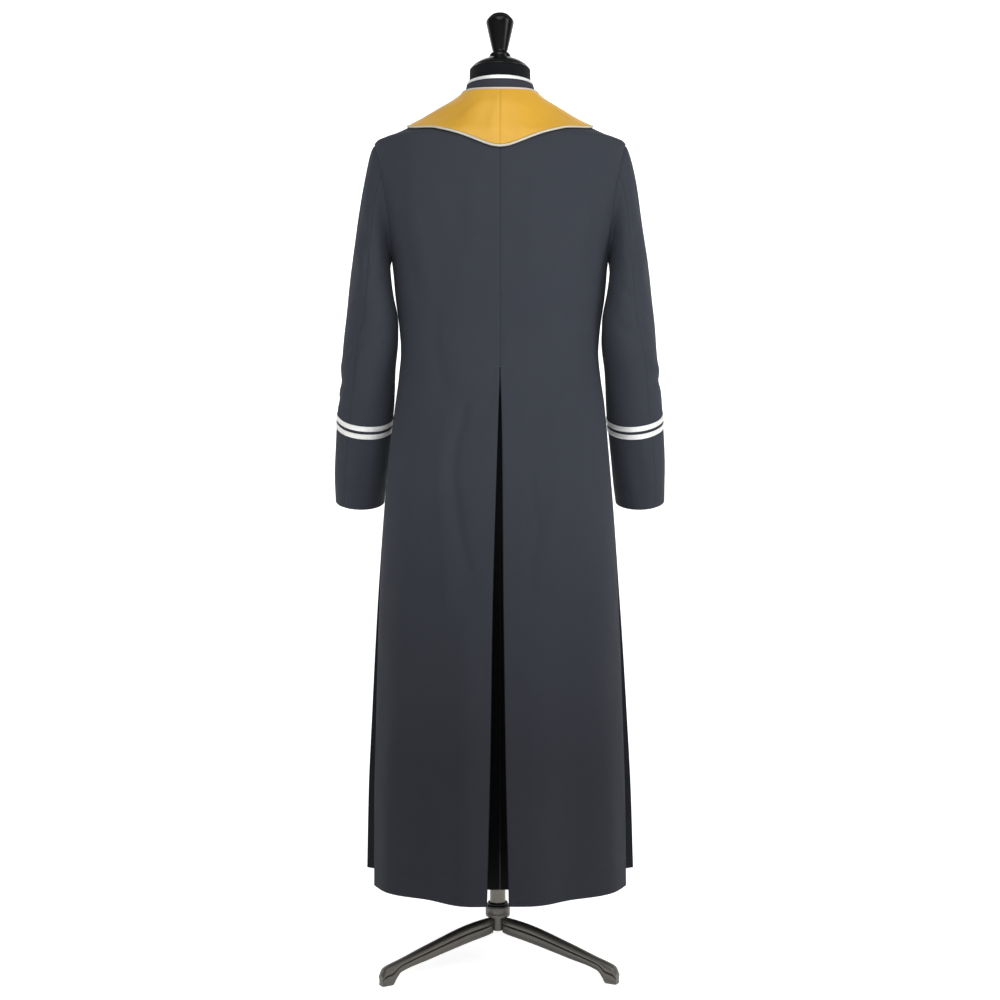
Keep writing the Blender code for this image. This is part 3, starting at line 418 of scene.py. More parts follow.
def body_facing(side, turn, level):
    """Outward unit normals of the body surface."""
    across = plain_body(side, turn + 0.5, level) - plain_body(side, turn - 0.5, level)
    upward = plain_body(side, turn, level + 0.003) - plain_body(side, turn, level - 0.003)
    return unit(np.cross(upward, across))


def fold_swell(side, turn, level):
    """How far the soft folds of the skirt stand out."""
    out = np.zeros(np.broadcast(turn, level).shape)
    for fold_side, fold_turn, spread, height, top in SOFT_FOLDS:
        if fold_side == side:
            rise = smooth_step((top - level) / (top - HEM_Z))
            out += height * np.exp(-((turn - fold_turn) / spread) ** 2) * rise
    return out


def body(side, turn, level):
    out = fold_swell(side, turn, level)[..., None]
    return plain_body(side, turn, level) + body_facing(side, turn, level) * out


# Dress form
# A limbless torso of padded board under stretched black cotton jersey, with its own neck.
# The cover is sewn up the sides and pulled smooth, so it shows only its fine knit.
FORM_TOP_Z = 1.570
NECK_RADIUS = 0.0533
FORM_LAP_ROOM = 0.006
FORM_STEPS = 96
# Room between cloth and form: level, room
FORM_ROOM = (
    (0.155, 0.018), (1.040, 0.018), (1.235, 0.016), (1.390, 0.009), (1.440, 0.0055),
    (1.457, 0.0026), (1.499, 0.0032), (1.514, 0.0052), (1.528, 0.0082),
)
# Underside of the form: height above its base, how far it is drawn in
FORM_UNDERSIDE = ((0.0, 0.060), (0.0, 0.030), (0.0, 0.014), (0.0015, 0.0095), (0.006, 0.005), (0.010, 0.0022),
                  (0.016, 0.0))


def black_jersey():
    """Fine black cotton jersey: wales about 0.7 mm apart, dull, with a trace of lint."""
    finish, tree, shader = new_finish("black_jersey", 0.88, 0.0, Specular_IOR_Level=0.12, Sheen_Weight=0.03,
                                      Sheen_Roughness=0.5)
    place = add_node(tree, "ShaderNodeTexCoord").outputs["UV"]
    mottled_colour(tree, shader, place, (0.0058, 0.0070, 0.0092), (0.0034, 0.0042, 0.0056), 30.0)
    raised_grain(tree, shader, yarn_waves(tree, place, 225.0, 0.6, "X"), 0.00016, 0.6)
    return finish


def form_rings():
    under = [(FORM_BASE_Z + rise, tuck) for rise, tuck in FORM_UNDERSIDE]
    levels = np.concatenate([np.arange(FORM_BASE_Z + 0.024, 1.45, 0.012), np.linspace(1.45, NECK_SIDE_Z, 15)])
    stations = under + [(level, 0.0) for level in levels]
    turn = 360.0 * np.arange(FORM_STEPS) / FORM_STEPS
    side_turn = np.where(turn <= 180, turn, 360.0 - turn)
    rings = []
    for level, tuck in stations:
        level_row = np.full(FORM_STEPS, level)
        ring = np.zeros((FORM_STEPS, 3))
        for side in (1, -1):
            mine = turn <= 180 if side > 0 else turn > 180
            normal = body_facing(side, side_turn, level_row)
            if level <= WAIST_Z:
                normal = unit(normal * (1.0, 1.0, 0.0))
            room = along(FORM_ROOM, level_row)[0] + FORM_LAP_ROOM * smooth_step((side_turn - 110.0) / 50.0)
            points = (plain_body(side, side_turn, level_row) - normal * (room + tuck)[:, None]) * (side, 1, 1)
            ring[mine] = points[mine]
        rings.append(ring)
    base = rings[-1]
    ray = np.radians(turn)
    top = np.stack([NECK_RADIUS * np.sin(ray), NECK_RADIUS * np.cos(ray),
                    np.full(FORM_STEPS, FORM_TOP_Z)], axis=-1)
    for part in np.linspace(0.0, 1.0, 13)[1:]:
        pull = 1 - (1 - part) ** 2
        rings.append(base + (top - base) * (pull, pull, part))
    return np.array(rings) + (0.0, SHIFT_Y, 0.0)


rings = form_rings()
points, faces = joined_rings(rings)
around = np.linspace(0.0, 0.9, FORM_STEPS)
form_uv = np.stack(np.broadcast_arrays(around, rings[:, :1, 2]), axis=-1).reshape(-1, 2)
form_uv = np.vstack([form_uv, form_uv[:1], form_uv[-1:]])
form = new_piece("form_torso", points, faces, black_jersey(), across=form_uv)
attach(form, "root")
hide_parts("form_torso")

# Neck cap and finial
# Turned wood in black lacquer. The cap is a shallow dome with a bead round its edge, and
# the finial stands on it as a flared knob above a waisted foot.
CAP_PROFILE = (
    (0.0000, 1.5704), (0.0512, 1.5704), (0.0528, 1.5706), (0.0533, 1.5711), (0.0534, 1.5716),
    (0.0533, 1.5723), (0.0526, 1.5730), (0.0518, 1.5736), (0.0510, 1.5750), (0.0492, 1.5772),
    (0.0470, 1.5794), (0.0447, 1.5812), (0.0397, 1.5845), (0.0340, 1.5875), (0.0274, 1.5900),
    (0.0187, 1.5919), (0.0000, 1.5921),
)
FINIAL_PROFILE = (
    (0.0000, 1.5925), (0.0176, 1.5925), (0.0183, 1.5929), (0.0186, 1.5940), (0.0187, 1.5962),
    (0.0186, 1.5980), (0.0180, 1.5996), (0.0166, 1.6010), (0.0150, 1.6022), (0.0137, 1.6034),
    (0.0131, 1.6046), (0.0131, 1.6058), (0.0135, 1.6076), (0.0144, 1.6112), (0.0175, 1.6245),
    (0.0206, 1.6380), (0.0230, 1.6490), (0.0240, 1.6534), (0.0244, 1.6560), (0.0242, 1.6580),
    (0.0231, 1.6606), (0.0217, 1.6626), (0.0200, 1.6645), (0.0184, 1.6664), (0.0166, 1.6682),
    (0.0144, 1.6698), (0.0120, 1.6709), (0.0095, 1.6717), (0.0070, 1.6723), (0.0035, 1.6729),
    (0.0000, 1.6730),
)
for name, profile in (("neck_cap", CAP_PROFILE), ("finial", FINIAL_PROFILE)):
    turning = turned_piece(name, profile, (0.0, SHIFT_Y), BLACK_LACQUER, smooth_angle=35.0)
    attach(turning, "root")
    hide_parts(name)

# Grey wool body panels
# Two backs and two fronts of fine worsted twill, pressed open at every seam. The backs carry
# an inverted pleat at the centre and a deep pleat at each side, both running out at the waist.
CLOTH = 0.0016
FOLD_RADIUS = 0.0012
WAIST_TACK = 0.010
LAP = 0.020
LAP_RAMP = 0.018
LAP_ROOM = 0.0015
HEM_TURN_UP = 0.038
HEM_PLY = 0.0009
HEM_LINE = 0.0004
TACK_Z = 1.0425
TACK_WIDTH = 0.0015
TACK_REACH = 0.013
TACK_DEPTH = 0.0009
SEAM_ROLL = 0.0007
SEAM_ROLL_WIDTH = 0.0016
FOLD_ARC_STEPS = 7
RUN_STEPS = 7
MAIN_COLUMNS = 84
# Pleats: level, centre opening, centre depth, centre fold width, side turn, side opening, side depth
PLEATS = (
    (0.155, 0.0175, 0.1050, 0.0520, 78.0, 0.0640, 0.078),
    (0.390, 0.0122, 0.0800, 0.0450, 79.0, 0.0420, 0.066),
    (0.580, 0.0096, 0.0500, 0.0400, 81.0, 0.0240, 0.046),
    (0.700, 0.0077, 0.0260, 0.0360, 83.0, 0.0125, 0.024),
    (0.800, 0.0060, 0.0140, 0.0330, 85.0, 0.0060, 0.010),
    (0.900, 0.0040, 0.0100, 0.0300, 87.0, 0.0030, 0.008),
    (0.975, 0.0022, 0.0085, 0.0270, 88.5, 0.0012, 0.007),
    (1.035, 0.0003, 0.0078, 0.0252, 90.0, 0.0003, 0.006),
    (1.040, 0.0003, 0.0078, 0.0250, 90.0, 0.0003, 0.006),
)
# The whole centre pleat hangs a little to the left: drift, level where it starts, length
PLEAT_DRIFT = 0.0033
DRIFT_TOP = 1.00
DRIFT_LENGTH = 0.40
# Armhole: an oval in turn and level
ARM_MIDDLE = (UNDERARM_Z + SHOULDER_Z) / 2
ARM_HEIGHT = (SHOULDER_Z - UNDERARM_Z) / 2
ARM_BACK = 23.0
ARM_FRONT = 28.0
# Creases of body and sleeve stand this much higher than their tables say, to a tenth of a millimetre
CREASE_GAIN = 1.5
SLEEVE_CREASE_GAIN = 1.45
# Upright creases: face (1 back, -1 front), height, width, then z and x of points down the crease
UPRIGHT_CREASES = (
    (1, -0.0022, 0.010, (0.985, 0.0600), (0.944, 0.0650), (0.880, 0.0800), (0.780, 0.0705), (0.690, 0.0500)),
    (1, 0.0016, 0.015, (0.960, 0.0880), (0.880, 0.1020), (0.760, 0.0960), (0.640, 0.0860)),
    (1, -0.0018, 0.009, (0.860, -0.052), (0.806, -0.056), (0.780, -0.064), (0.727, -0.058), (0.660, -0.050)),
    (1, -0.0014, 0.010, (0.980, -0.1150), (0.944, -0.1210), (0.890, -0.1230), (0.820, -0.1180)),
    (1, 0.0013, 0.014, (0.960, -0.0900), (0.850, -0.0930), (0.720, -0.0820)),
    (1, 0.0012, 0.014, (1.400, 0.1450), (1.340, 0.1500), (1.260, 0.1380), (1.180, 0.1180)),
    (1, 0.0010, 0.013, (1.370, 0.0440), (1.300, 0.0500), (1.230, 0.0470)),
    (1, -0.0011, 0.011, (1.390, 0.1680), (1.320, 0.1690), (1.240, 0.1560), (1.160, 0.1400)),
    (1, 0.0012, 0.015, (1.390, -0.1420), (1.320, -0.1500), (1.250, -0.1400), (1.170, -0.1150)),
    (1, -0.0010, 0.011, (1.380, -0.1680), (1.300, -0.1660), (1.220, -0.1520)),
    (1, 0.0010, 0.016, (1.360, -0.0560), (1.280, -0.0500), (1.200, -0.0550)),
    (1, -0.0013, 0.012, (1.135, 0.1080), (1.090, 0.1120), (1.045, 0.1030), (0.990, 0.0980)),
    (1, -0.0012, 0.012, (1.140, -0.1040), (1.085, -0.1110), (1.030, -0.1040), (0.985, -0.0950)),
    (-1, -0.0016, 0.011, (1.150, 0.0850), (1.090, 0.0930), (1.020, 0.0900), (0.950, 0.1010)),
    (-1, -0.0016, 0.011, (1.140, -0.0900), (1.080, -0.0960), (1.010, -0.0900), (0.940, -0.0980)),
    (-1, 0.0014, 0.015, (1.350, 0.1200), (1.290, 0.1300), (1.210, 0.1180)),
    (-1, 0.0014, 0.015, (1.355, -0.1180), (1.280, -0.1280), (1.200, -0.1150)),
    (-1, -0.0017, 0.012, (0.880, 0.0700), (0.780, 0.0780), (0.660, 0.0800), (0.540, 0.0950)),
    (-1, -0.0017, 0.012, (0.860, -0.0640), (0.760, -0.0720), (0.640, -0.0780), (0.500, -0.0880)),
)
# Level drag lines: face, height, width, then x and z of points along the crease
LEVEL_CREASES = (
    (1, -0.0009, 0.007, (0.020, 1.075), (0.070, 1.066), (0.130, 1.080)),
    (1, -0.0008, 0.006, (-0.025, 1.062), (-0.080, 1.072), (-0.130, 1.064)),
    (1, 0.0008, 0.008, (0.040, 1.092), (0.090, 1.098), (0.150, 1.110)),
    (1, 0.0008, 0.008, (-0.050, 1.094), (-0.100, 1.090), (-0.150, 1.106)),
    (-1, -0.0009, 0.007, (0.040, 1.070), (0.090, 1.062), (0.140, 1.076)),
    (-1, -0.0009, 0.007, (-0.040, 1.066), (-0.090, 1.074), (-0.140, 1.062)),
    (-1, 0.0009, 0.009, (0.060, 1.250), (0.110, 1.262), (0.160, 1.290)),
    (-1, 0.0009, 0.009, (-0.060, 1.246), (-0.110, 1.258), (-0.160, 1.292)),
)
CREASE_FADE = 0.030
# Slow unevenness of worn cloth: height, waves per metre round, waves per metre up, phase
DRIFT = (
    (0.00050, 7.0, 2.3, 0.4),
    (0.00035, 13.0, 3.9, 2.1),
    (0.00022, 5.0, 9.0, 4.0),
    (0.00012, 23.0, 14.0, 1.3),
)


def crease_depth(points, upright, level, gain=1.0):
    """How far the listed creases and slow drift move the cloth, along its facing."""
    x, y, z = points[..., 0], points[..., 1], points[..., 2]
    out = np.zeros(x.shape)
    for creases, run, across in ((upright, z, x), (level, x, z)):
        for face, height, width, *line in creases:
            table = sorted(line)
            middle = along(table, run)[0]
            reach = np.minimum(run - table[0][0], table[-1][0] - run)
            window = smooth_step(reach / CREASE_FADE + 0.5)
            ridge = round(height * gain, 4) * np.exp(-((across - middle) / width) ** 2)
            out += np.where(y * face > 0, ridge * window, 0.0)
    round_the_body = np.arctan2(x, y) * 0.18
    for height, turns, ups, phase in DRIFT:
        wander = np.sin(math.tau * turns * round_the_body + 1.7 * np.sin(math.tau * ups * z + phase))
        out += height * wander * np.cos(math.tau * ups * z + 3.0 * round_the_body + phase)
    return out


def shell(name, outer, inner, finish, keep=None, ring=False, across=None, smooth_angle=55.0):
    """Closed wall of cloth between two equal grids; keep marks the cells that are cloth."""
    rows, columns = outer.shape[:2]
    number = np.arange(rows * columns).reshape(rows, columns)
    if ring:
        number = np.hstack([number, number[:, :1]])
    a, b, d, e = number[:-1, :-1], number[1:, :-1], number[1:, 1:], number[:-1, 1:]
    keep = np.ones(a.shape, bool) if keep is None else keep
    back = rows * columns
    faces = [np.stack([a, b, d, e], axis=-1)[keep], np.stack([e, d, b, a], axis=-1)[keep] + back]
    edges = ((a, b, (0, -1)), (b, d, (1, 0)), (d, e, (0, 1)), (e, a, (-1, 0)))
    padded = np.pad(keep, 1)
    for first, second, (down, right) in edges:
        near = padded[1 + down:padded.shape[0] - 1 + down, 1 + right:padded.shape[1] - 1 + right]
        if ring and right:
            near = np.roll(keep, -right, axis=1)
        open_edge = keep & ~near
        f, s = first[open_edge], second[open_edge]
        faces.append(np.stack([s, f, f + back, s + back], axis=-1))
    if across is None:
        round_row = np.linalg.norm(np.diff(outer, axis=1), axis=-1)
        down_column = np.linalg.norm(np.diff(outer, axis=0), axis=-1)
        u = np.pad(np.cumsum(round_row, axis=1), ((0, 0), (1, 0)))
        v = -np.pad(np.cumsum(down_column.mean(axis=1)), (1, 0))[:, None]
        across = np.stack(np.broadcast_arrays(u, v), axis=-1)
    across = np.vstack([across.reshape(-1, 2), across.reshape(-1, 2)])
    points = np.vstack([outer.reshape(-1, 3), inner.reshape(-1, 3)]) + (0.0, SHIFT_Y, 0.0)
    faces = np.vstack(faces)
    used = np.unique(faces)
    renumber = np.zeros(len(points), int)
    renumber[used] = np.arange(len(used))
    return new_piece(name, points[used], renumber[faces], finish, across=across[used],
                     smooth_angle=smooth_angle)


def direction(degrees):
    return np.array([math.cos(math.radians(degrees)), math.sin(math.radians(degrees))])


def bearing_of(vector):
    return math.degrees(math.atan2(vector[1], vector[0]))


def spun(vector, degrees):
    c, s = direction(degrees)
    return np.array([vector[0] * c - vector[1] * s, vector[0] * s + vector[1] * c])


def plan(vector):
    return unit(np.asarray(vector)[:2])


def turn_at(side, turn, level, distance):
    """Turn reached by walking a distance along the section from another turn."""
    step = np.linalg.norm(body(side, turn + 0.5, level) - body(side, turn - 0.5, level))
    return turn + distance / step


def centre_back_turn(side, level):
    """Turn where the flat part of a back starts: the seam, or the pleat's visible fold."""
    reach = GAP / 2
    if level <= WAIST_Z:
        drift = side * PLEAT_DRIFT * smooth_step((DRIFT_TOP - level) / DRIFT_LENGTH)
        reach = along(PLEATS, np.float64(level))[0] + drift + FOLD_RADIUS + CLOTH / 2
    return turn_at(side, 0.0, level, reach)


def arm_turn(level, front):
    lift = (level - ARM_MIDDLE) / ARM_HEIGHT
    width = math.sqrt(max(0.0, 1 - lift * lift))
    return 90.0 + (ARM_FRONT if front else -ARM_BACK) * width


def side_turn(side, level, front):
    """Turn where a panel ends at the side: pleat fold, side seam, armhole or shoulder seam."""
    away = 1 if front else -1
    if level > WAIST_Z:
        turn = arm_turn(level, front) if UNDERARM_Z < level < SHOULDER_Z else 90.0
        return turn_at(side, turn, level, away * GAP / 2)
    mid, opening = along(PLEATS, np.float64(level))[3:5]
    return turn_at(side, mid, level, away * (opening + FOLD_RADIUS + CLOTH / 2))


def fold_arc(centre, start, end, inward):
    """Middle points and facings round a pressed fold."""
    rays = [direction(start + (end - start) * k / FOLD_ARC_STEPS) for k in range(FOLD_ARC_STEPS + 1)]
    return [(centre + ray * FOLD_RADIUS, -ray if inward else ray) for ray in rays]


def straight_run(first, last):
    """Points between two fold points, both left out, on the straight line between them."""
    found = []
    for k in range(1, RUN_STEPS):
        t = k / RUN_STEPS
        normal = unit(first[1] * (1 - t) + last[1] * t)
        found.append((first[0] * (1 - t) + last[0] * t, normal))
    return found


def centre_pleat(side, level):
    """Half of the inverted pleat, from its hidden seam out to a fold and back to the visible fold."""
    opening, depth, width = along(PLEATS, np.float64(level))[0:3]
    turn = centre_back_turn(side, level)
    edge = body(side, turn, level)[:2]
    out = plan(body_facing(side, turn, level))
    visible = edge - out * (CLOTH / 2 + FOLD_RADIUS)
    under_y = body(side, 0.0, level)[1] - depth - CLOTH / 2
    hidden = np.array([width, under_y + FOLD_RADIUS])
    reach = visible - hidden
    swing = math.degrees(math.acos(min(1.0, 2 * FOLD_RADIUS / np.linalg.norm(reach))))
    leave = bearing_of(spun(reach, -swing))
    seam = (np.array([GAP / 2, under_y]), np.array([0.0, 1.0]))
    hidden_arc = fold_arc(hidden, -90.0, leave, True)
    visible_arc = fold_arc(visible, leave + 180.0, bearing_of(out), False)
    return ([seam] + straight_run(seam, hidden_arc[0]) + hidden_arc
            + straight_run(hidden_arc[-1], visible_arc[0]) + visible_arc[:-1])


def side_pleat(side, level, front):
    """Fold at the side and the cloth that runs in from it to the pleat's hidden seam."""
    mid, opening, depth = along(PLEATS, np.float64(level))[3:6]
    turn = side_turn(side, level, front)
    edge = body(side, turn, level)[:2]
    out = plan(body_facing(side, turn, level))
    fold = edge - out * (CLOTH / 2 + FOLD_RADIUS)
    inward = -plan(body_facing(side, mid, level))
    away = spun(inward, 90.0 if front else -90.0)
    end = body(side, mid, level)[:2] + inward * depth + away * (GAP / 2 + CLOTH / 2)
    reach = end - fold
    swing = math.degrees(math.acos(min(1.0, FOLD_RADIUS / np.linalg.norm(reach))))
    leave = bearing_of(spun(reach, -swing if front else swing))
    start = bearing_of(out)
    if front and leave < start:
        leave += 360.0
    if not front and leave > start:
        leave -= 360.0
    arc = fold_arc(fold, start, leave, False)
    last = (end, -away)
    return arc[1:] + straight_run(arc[-1], last) + [last]


def panel_levels():
    """Levels of a panel's rows: close at the waist tack, the hem's turn-up and the armhole."""
    skirt = np.concatenate([[HEM_Z, HEM_Z + 0.0012], np.linspace(HEM_Z + 0.006, WAIST_Z, 146)])
    hem = HEM_Z + HEM_TURN_UP + np.array([-0.0022, -0.0008, 0.0008, 0.0022])
    tack = TACK_Z + TACK_WIDTH * np.array([-1.0, -0.5, 0.0, 0.5, 1.0, 1.8])
    bodice = np.linspace(WAIST_Z + WAIST_TACK, UNDERARM_Z - 0.002, 34)
    arm = ARM_MIDDLE - ARM_HEIGHT * np.cos(np.linspace(0.0, math.pi, 49))
    neck = np.linspace(SHOULDER_Z + 0.0035, NECK_SIDE_Z, 16)
    return np.unique(np.concatenate([skirt, hem, tack, bodice, arm, neck]))


PANEL_LEVELS = panel_levels()
SKIRT_ROWS = int(np.sum(PANEL_LEVELS <= WAIST_Z + 1e-9)) - 1


def spread_shares(count, lead):
    """Shares from 0 to 1, with the columns close together in the last bit at both ends."""
    close = np.array([0.0, 0.0012, 0.0030, 0.0060, 0.0110])
    return np.concatenate([close, np.linspace(lead, 1 - lead, count - 10 + 1), 1 - close[::-1]])


def seam_roll(distance_first, distance_last):
    """Cloth rolls in a little where it is pressed open at a seam."""
    near = np.exp(-(distance_first / SEAM_ROLL_WIDTH) ** 2) + np.exp(-(distance_last / SEAM_ROLL_WIDTH) ** 2)
    return -SEAM_ROLL * near


def worn_depth(points, level):
    """Creases and drift of the body panels, dying out at the hem and under the cape."""
    out = crease_depth(points, UPRIGHT_CREASES, LEVEL_CREASES, CREASE_GAIN)
    return out * smooth_step((level - HEM_Z) / 0.25 + 0.35) * smooth_step((1.5 - level) / 0.08)


def main_cloth(side, first, last, level, inset=None):
    """Middle points and facings of the flat part of a panel at one level."""
    turns = first + (last - first) * spread_shares(MAIN_COLUMNS, 0.018)
    levels = np.full(turns.shape, level)
    points = body(side, turns, levels)
    facings = body_facing(side, turns, levels)
    if level <= WAIST_Z:
        facings = unit(facings * (1.0, 1.0, 0.0))
    step = np.linalg.norm(np.diff(points, axis=0), axis=-1)
    walked = np.concatenate([[0.0], np.cumsum(step)])
    out = worn_depth(points * (side, 1, 1), level)
    out *= smooth_step(walked / 0.012) * smooth_step((walked[-1] - walked) / 0.012)
    if level > WAIST_Z:
        out += seam_roll(walked, walked[-1] - walked)
    out -= HEM_LINE * np.exp(-((level - HEM_Z - HEM_TURN_UP) / 0.0012) ** 2)
    tack = np.exp(-((level - TACK_Z) / TACK_WIDTH) ** 2) * smooth_step((TACK_REACH - points[:, 0]) / 0.004)
    out -= np.where(points[:, 1] > 0, TACK_DEPTH * tack, 0.0)
    if inset is not None:
        out -= inset(turns, points)
    return points + facings * (out - CLOTH / 2)[:, None], facings


def panel_walls(side, rows):
    """Outer and inner grid of a panel from its rows of middle points and facings."""
    outer = np.array([points + facings * CLOTH / 2 for points, facings in rows])
    ply = HEM_PLY * smooth_step((HEM_Z + HEM_TURN_UP - PANEL_LEVELS) / 0.002 + 0.5)[:, None, None]
    inner = np.array([points - facings * CLOTH / 2 for points, facings in rows])
    inner = inner - np.array([facings for points, facings in rows]) * ply * 0.5
    return outer * (side, 1, 1), inner * (side, 1, 1)


def lift_plan(pairs, level):
    points = np.array([[*point, level] for point, facing in pairs])
    facings = np.array([[*facing, 0.0] for point, facing in pairs])
    return points, facings


def back_rows(side):
    rows = []
    for level in PANEL_LEVELS:
        before = lift_plan(centre_pleat(side, min(level, WAIST_Z)), level)
        after = lift_plan(side_pleat(side, min(level, WAIST_Z), False), level)
        main = main_cloth(side, centre_back_turn(side, level), side_turn(side, level, False), level)
        rows.append([np.vstack(parts) for parts in zip(before, main, after)])
    return rows


def lap_inset(side):
    """The right front is tucked under the left one where they lap at the centre front."""
    def inset(turns, points):
        if side > 0:
            return np.zeros(turns.shape)
        width = points[:, 0].max()
        distance = width * np.sin(np.radians(180.0 - turns))
        return (CLOTH + LAP_ROOM) * smooth_step((LAP + LAP_RAMP - distance) / LAP_RAMP)
    return inset


def front_rows(side):
    rows = []
    for level in PANEL_LEVELS:
        width = body(side, 90.0, level)[0]
        first = 180.0 + math.degrees(math.asin(LAP / width))
        main = main_cloth(side, first, side_turn(side, level, True), level, lap_inset(side))
        after = lift_plan(side_pleat(side, min(level, WAIST_Z), True), level)
        rows.append([np.vstack(parts) for parts in zip(main, after)])
    return rows


def grey_worsted():
    """Worsted twill in charcoal grey, with painted shade: nearly black inside the pleats and darker down the
    skirt.
    """
    finish, tree, shader = new_finish("grey_worsted", 0.88, 0.0, Specular_IOR_Level=0.14, Sheen_Weight=0.03,
                                      Sheen_Roughness=0.45, Sheen_Tint=(0.75, 0.82, 1.0, 1.0))
    cloth = cloth_place(tree)
    place = object_place(tree)
    fibres = noise(tree, cloth, 620.0, 3.0)
    yarn = mixed_colour(tree, fibres, WOOL_DARK, WOOL_LIGHT)
    bloom = toned(tree, noise(tree, place, 5.0, 2.0), yarn, WOOL_BLOOM)
    # Painted shade: the twill is darkened with height, more and more from the upper skirt down to the hem
    height = add_node(tree, "ShaderNodeSeparateXYZ", {"Vector": place}).outputs["Z"]
    low = add_node(tree, "ShaderNodeMapRange", {"Value": height, "From Min": SKIRT_SHADE_FROM_Z,
                                                "From Max": SKIRT_SHADE_TO_Z})
    skirt = toned(tree, low.outputs[0], bloom, SKIRT_PAINTED_SHADE)
    # Painted shade: the cloth is taken to near black by the pleat shade share stored on each point
    inside = add_node(tree, "ShaderNodeAttribute", attribute_name="pleat_painted_shade")
    pleat = toned(tree, inside.outputs["Fac"], skirt, PLEAT_PAINTED_SHADE, blend="MIX")
    tree.links.new(pleat, shader.inputs["Base Color"])
    twill = yarn_waves(tree, cloth, 520.0, 0.5, "DIAGONAL")
    raised_grain(tree, shader, added(tree, twill, fibres), 0.00011, 0.55)
    return finish


WOOL_DARK = (0.0285, 0.0315, 0.0395)
WOOL_LIGHT = (0.0460, 0.0507, 0.0635)
WOOL_BLOOM = (0.86, 0.87, 0.90)
# Painted shade: the near black colour put inside the pleats
PLEAT_PAINTED_SHADE = (0.0016, 0.0018, 0.0020)
# Painted shade down the skirt, for the lamps' light falling off towards the hem: its tone, and the levels
# where that starts and is full
SKIRT_PAINTED_SHADE = (0.60, 0.58, 0.585)
SKIRT_SHADE_FROM_Z = 0.86
SKIRT_SHADE_TO_Z = 0.38
WORSTED = grey_worsted()


def mark_pleat_shade(piece, shade_by_column, rows, used):
    """Attribute with the share of painted shade at each point, which takes the cloth to near black in the
    pleats.
    """
    marks = np.tile(np.broadcast_to(shade_by_column, (rows, len(shade_by_column))).reshape(-1), 2)[used]
    layer = piece.data.attributes.new("pleat_painted_shade", "FLOAT", "POINT")
    layer.data.foreach_set("value", marks)


def wool_panel(name, side, rows, lead, tail):
    """One body panel: lead and tail count its pleat columns before and after the flat part."""
    outer, inner = panel_walls(side, rows)
    columns = outer.shape[1]
    cell = np.arange(columns - 1)
    below = np.arange(len(PANEL_LEVELS) - 1)[:, None] < SKIRT_ROWS
    keep = below | ((cell >= lead) & (cell < columns - 1 - tail))[None, :]
    panel = shell(name, outer, inner, WORSTED, keep=keep)
    column = np.arange(columns)
    # Painted shade: full share deep in the centre pleat, part of it in the side pleats
    depth = np.maximum(smooth_step((lead - 1 - column) / 3.0),
                       SIDE_PLEAT_PAINTED_SHADE * smooth_step((column - columns + tail) / 3.0))
    kept = np.zeros(outer.shape[:2], bool)
    kept[:-1, :-1] |= keep
    kept[1:, :-1] |= keep
    kept[:-1, 1:] |= keep
    kept[1:, 1:] |= keep
    mark_pleat_shade(panel, depth, outer.shape[0], np.tile(kept.reshape(-1), 2))
    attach(panel, "root")
    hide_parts(name)
    return panel


LEAD = len(centre_pleat(1, HEM_Z))
TAIL = len(side_pleat(1, HEM_Z, False))
PANEL_ROWS = {}
# Share of the painted pleat shade given to the side pleats
SIDE_PLEAT_PAINTED_SHADE = 0.66
for side, word in ((1, "left"), (-1, "right")):
    PANEL_ROWS["back_" + word] = back_rows(side)
    back = wool_panel("back_" + word, side, PANEL_ROWS["back_" + word], LEAD, TAIL)
    PANEL_ROWS["front_" + word] = front_rows(side)
    front = wool_panel("front_" + word, side, PANEL_ROWS["front_" + word], 0, TAIL)

# Two-piece sleeves
# Top sleeve and under sleeve of the same twill, joined by a hind-arm and a fore-arm seam and
# set into the armhole without gathers. They hang forward of the hips with soft breaks.
ARM_STEP = 22.5
HIND_SEAM = 5 * ARM_STEP
FORE_SEAM = 13 * ARM_STEP
# Sleeve: height, inner x, outer x, middle y, half depth, tilt (back edge lower), twist,
# drop of the inner side, slant of the back edge towards the body
SLEEVE = (
    (1.170, 0.1868, 0.2680, -0.004, 0.073, 0.0, -5.0, 0.00, 0.12),
    (1.130, 0.1800, 0.2725, -0.006, 0.069, 3.0, 2.0, 0.01, 0.14),
    (1.100, 0.1792, 0.2755, -0.009, 0.067, 6.0, 7.0, 0.03, 0.10),
    (1.048, 0.1850, 0.2805, -0.019, 0.062, 12.0, 6.0, 0.08, 0.03),
    (0.990, 0.1885, 0.2880, -0.036, 0.057, 22.0, 5.0, 0.10, 0.00),
    (0.925, 0.1970, 0.2955, -0.061, 0.054, 26.0, 8.0, 0.10, 0.00),
    (0.860, 0.2050, 0.3000, -0.088, 0.052, 22.0, 10.0, 0.07, 0.00),
    (0.8145, 0.2120, 0.3015, -0.112, 0.050, 19.0, 12.0, 0.05, 0.00),
)
# Sleeve head: pull away from the armhole at the underarm, what the shoulder adds, the lean of
# that pull to the side at both, and the pull down where the head runs into the arm
HEAD_PULL = 0.020
HEAD_PULL_MORE = 0.050
HEAD_LEAN_UNDER = 0.9
HEAD_LEAN_OVER = 0.6
HEAD_DROP = 0.9
SLEEVE_TOP = SLEEVE[0][0]
CUFF_PLACE = 1.0 + SLEEVE_TOP - SLEEVE[-1][0]
CUFF_FACING = 0.040
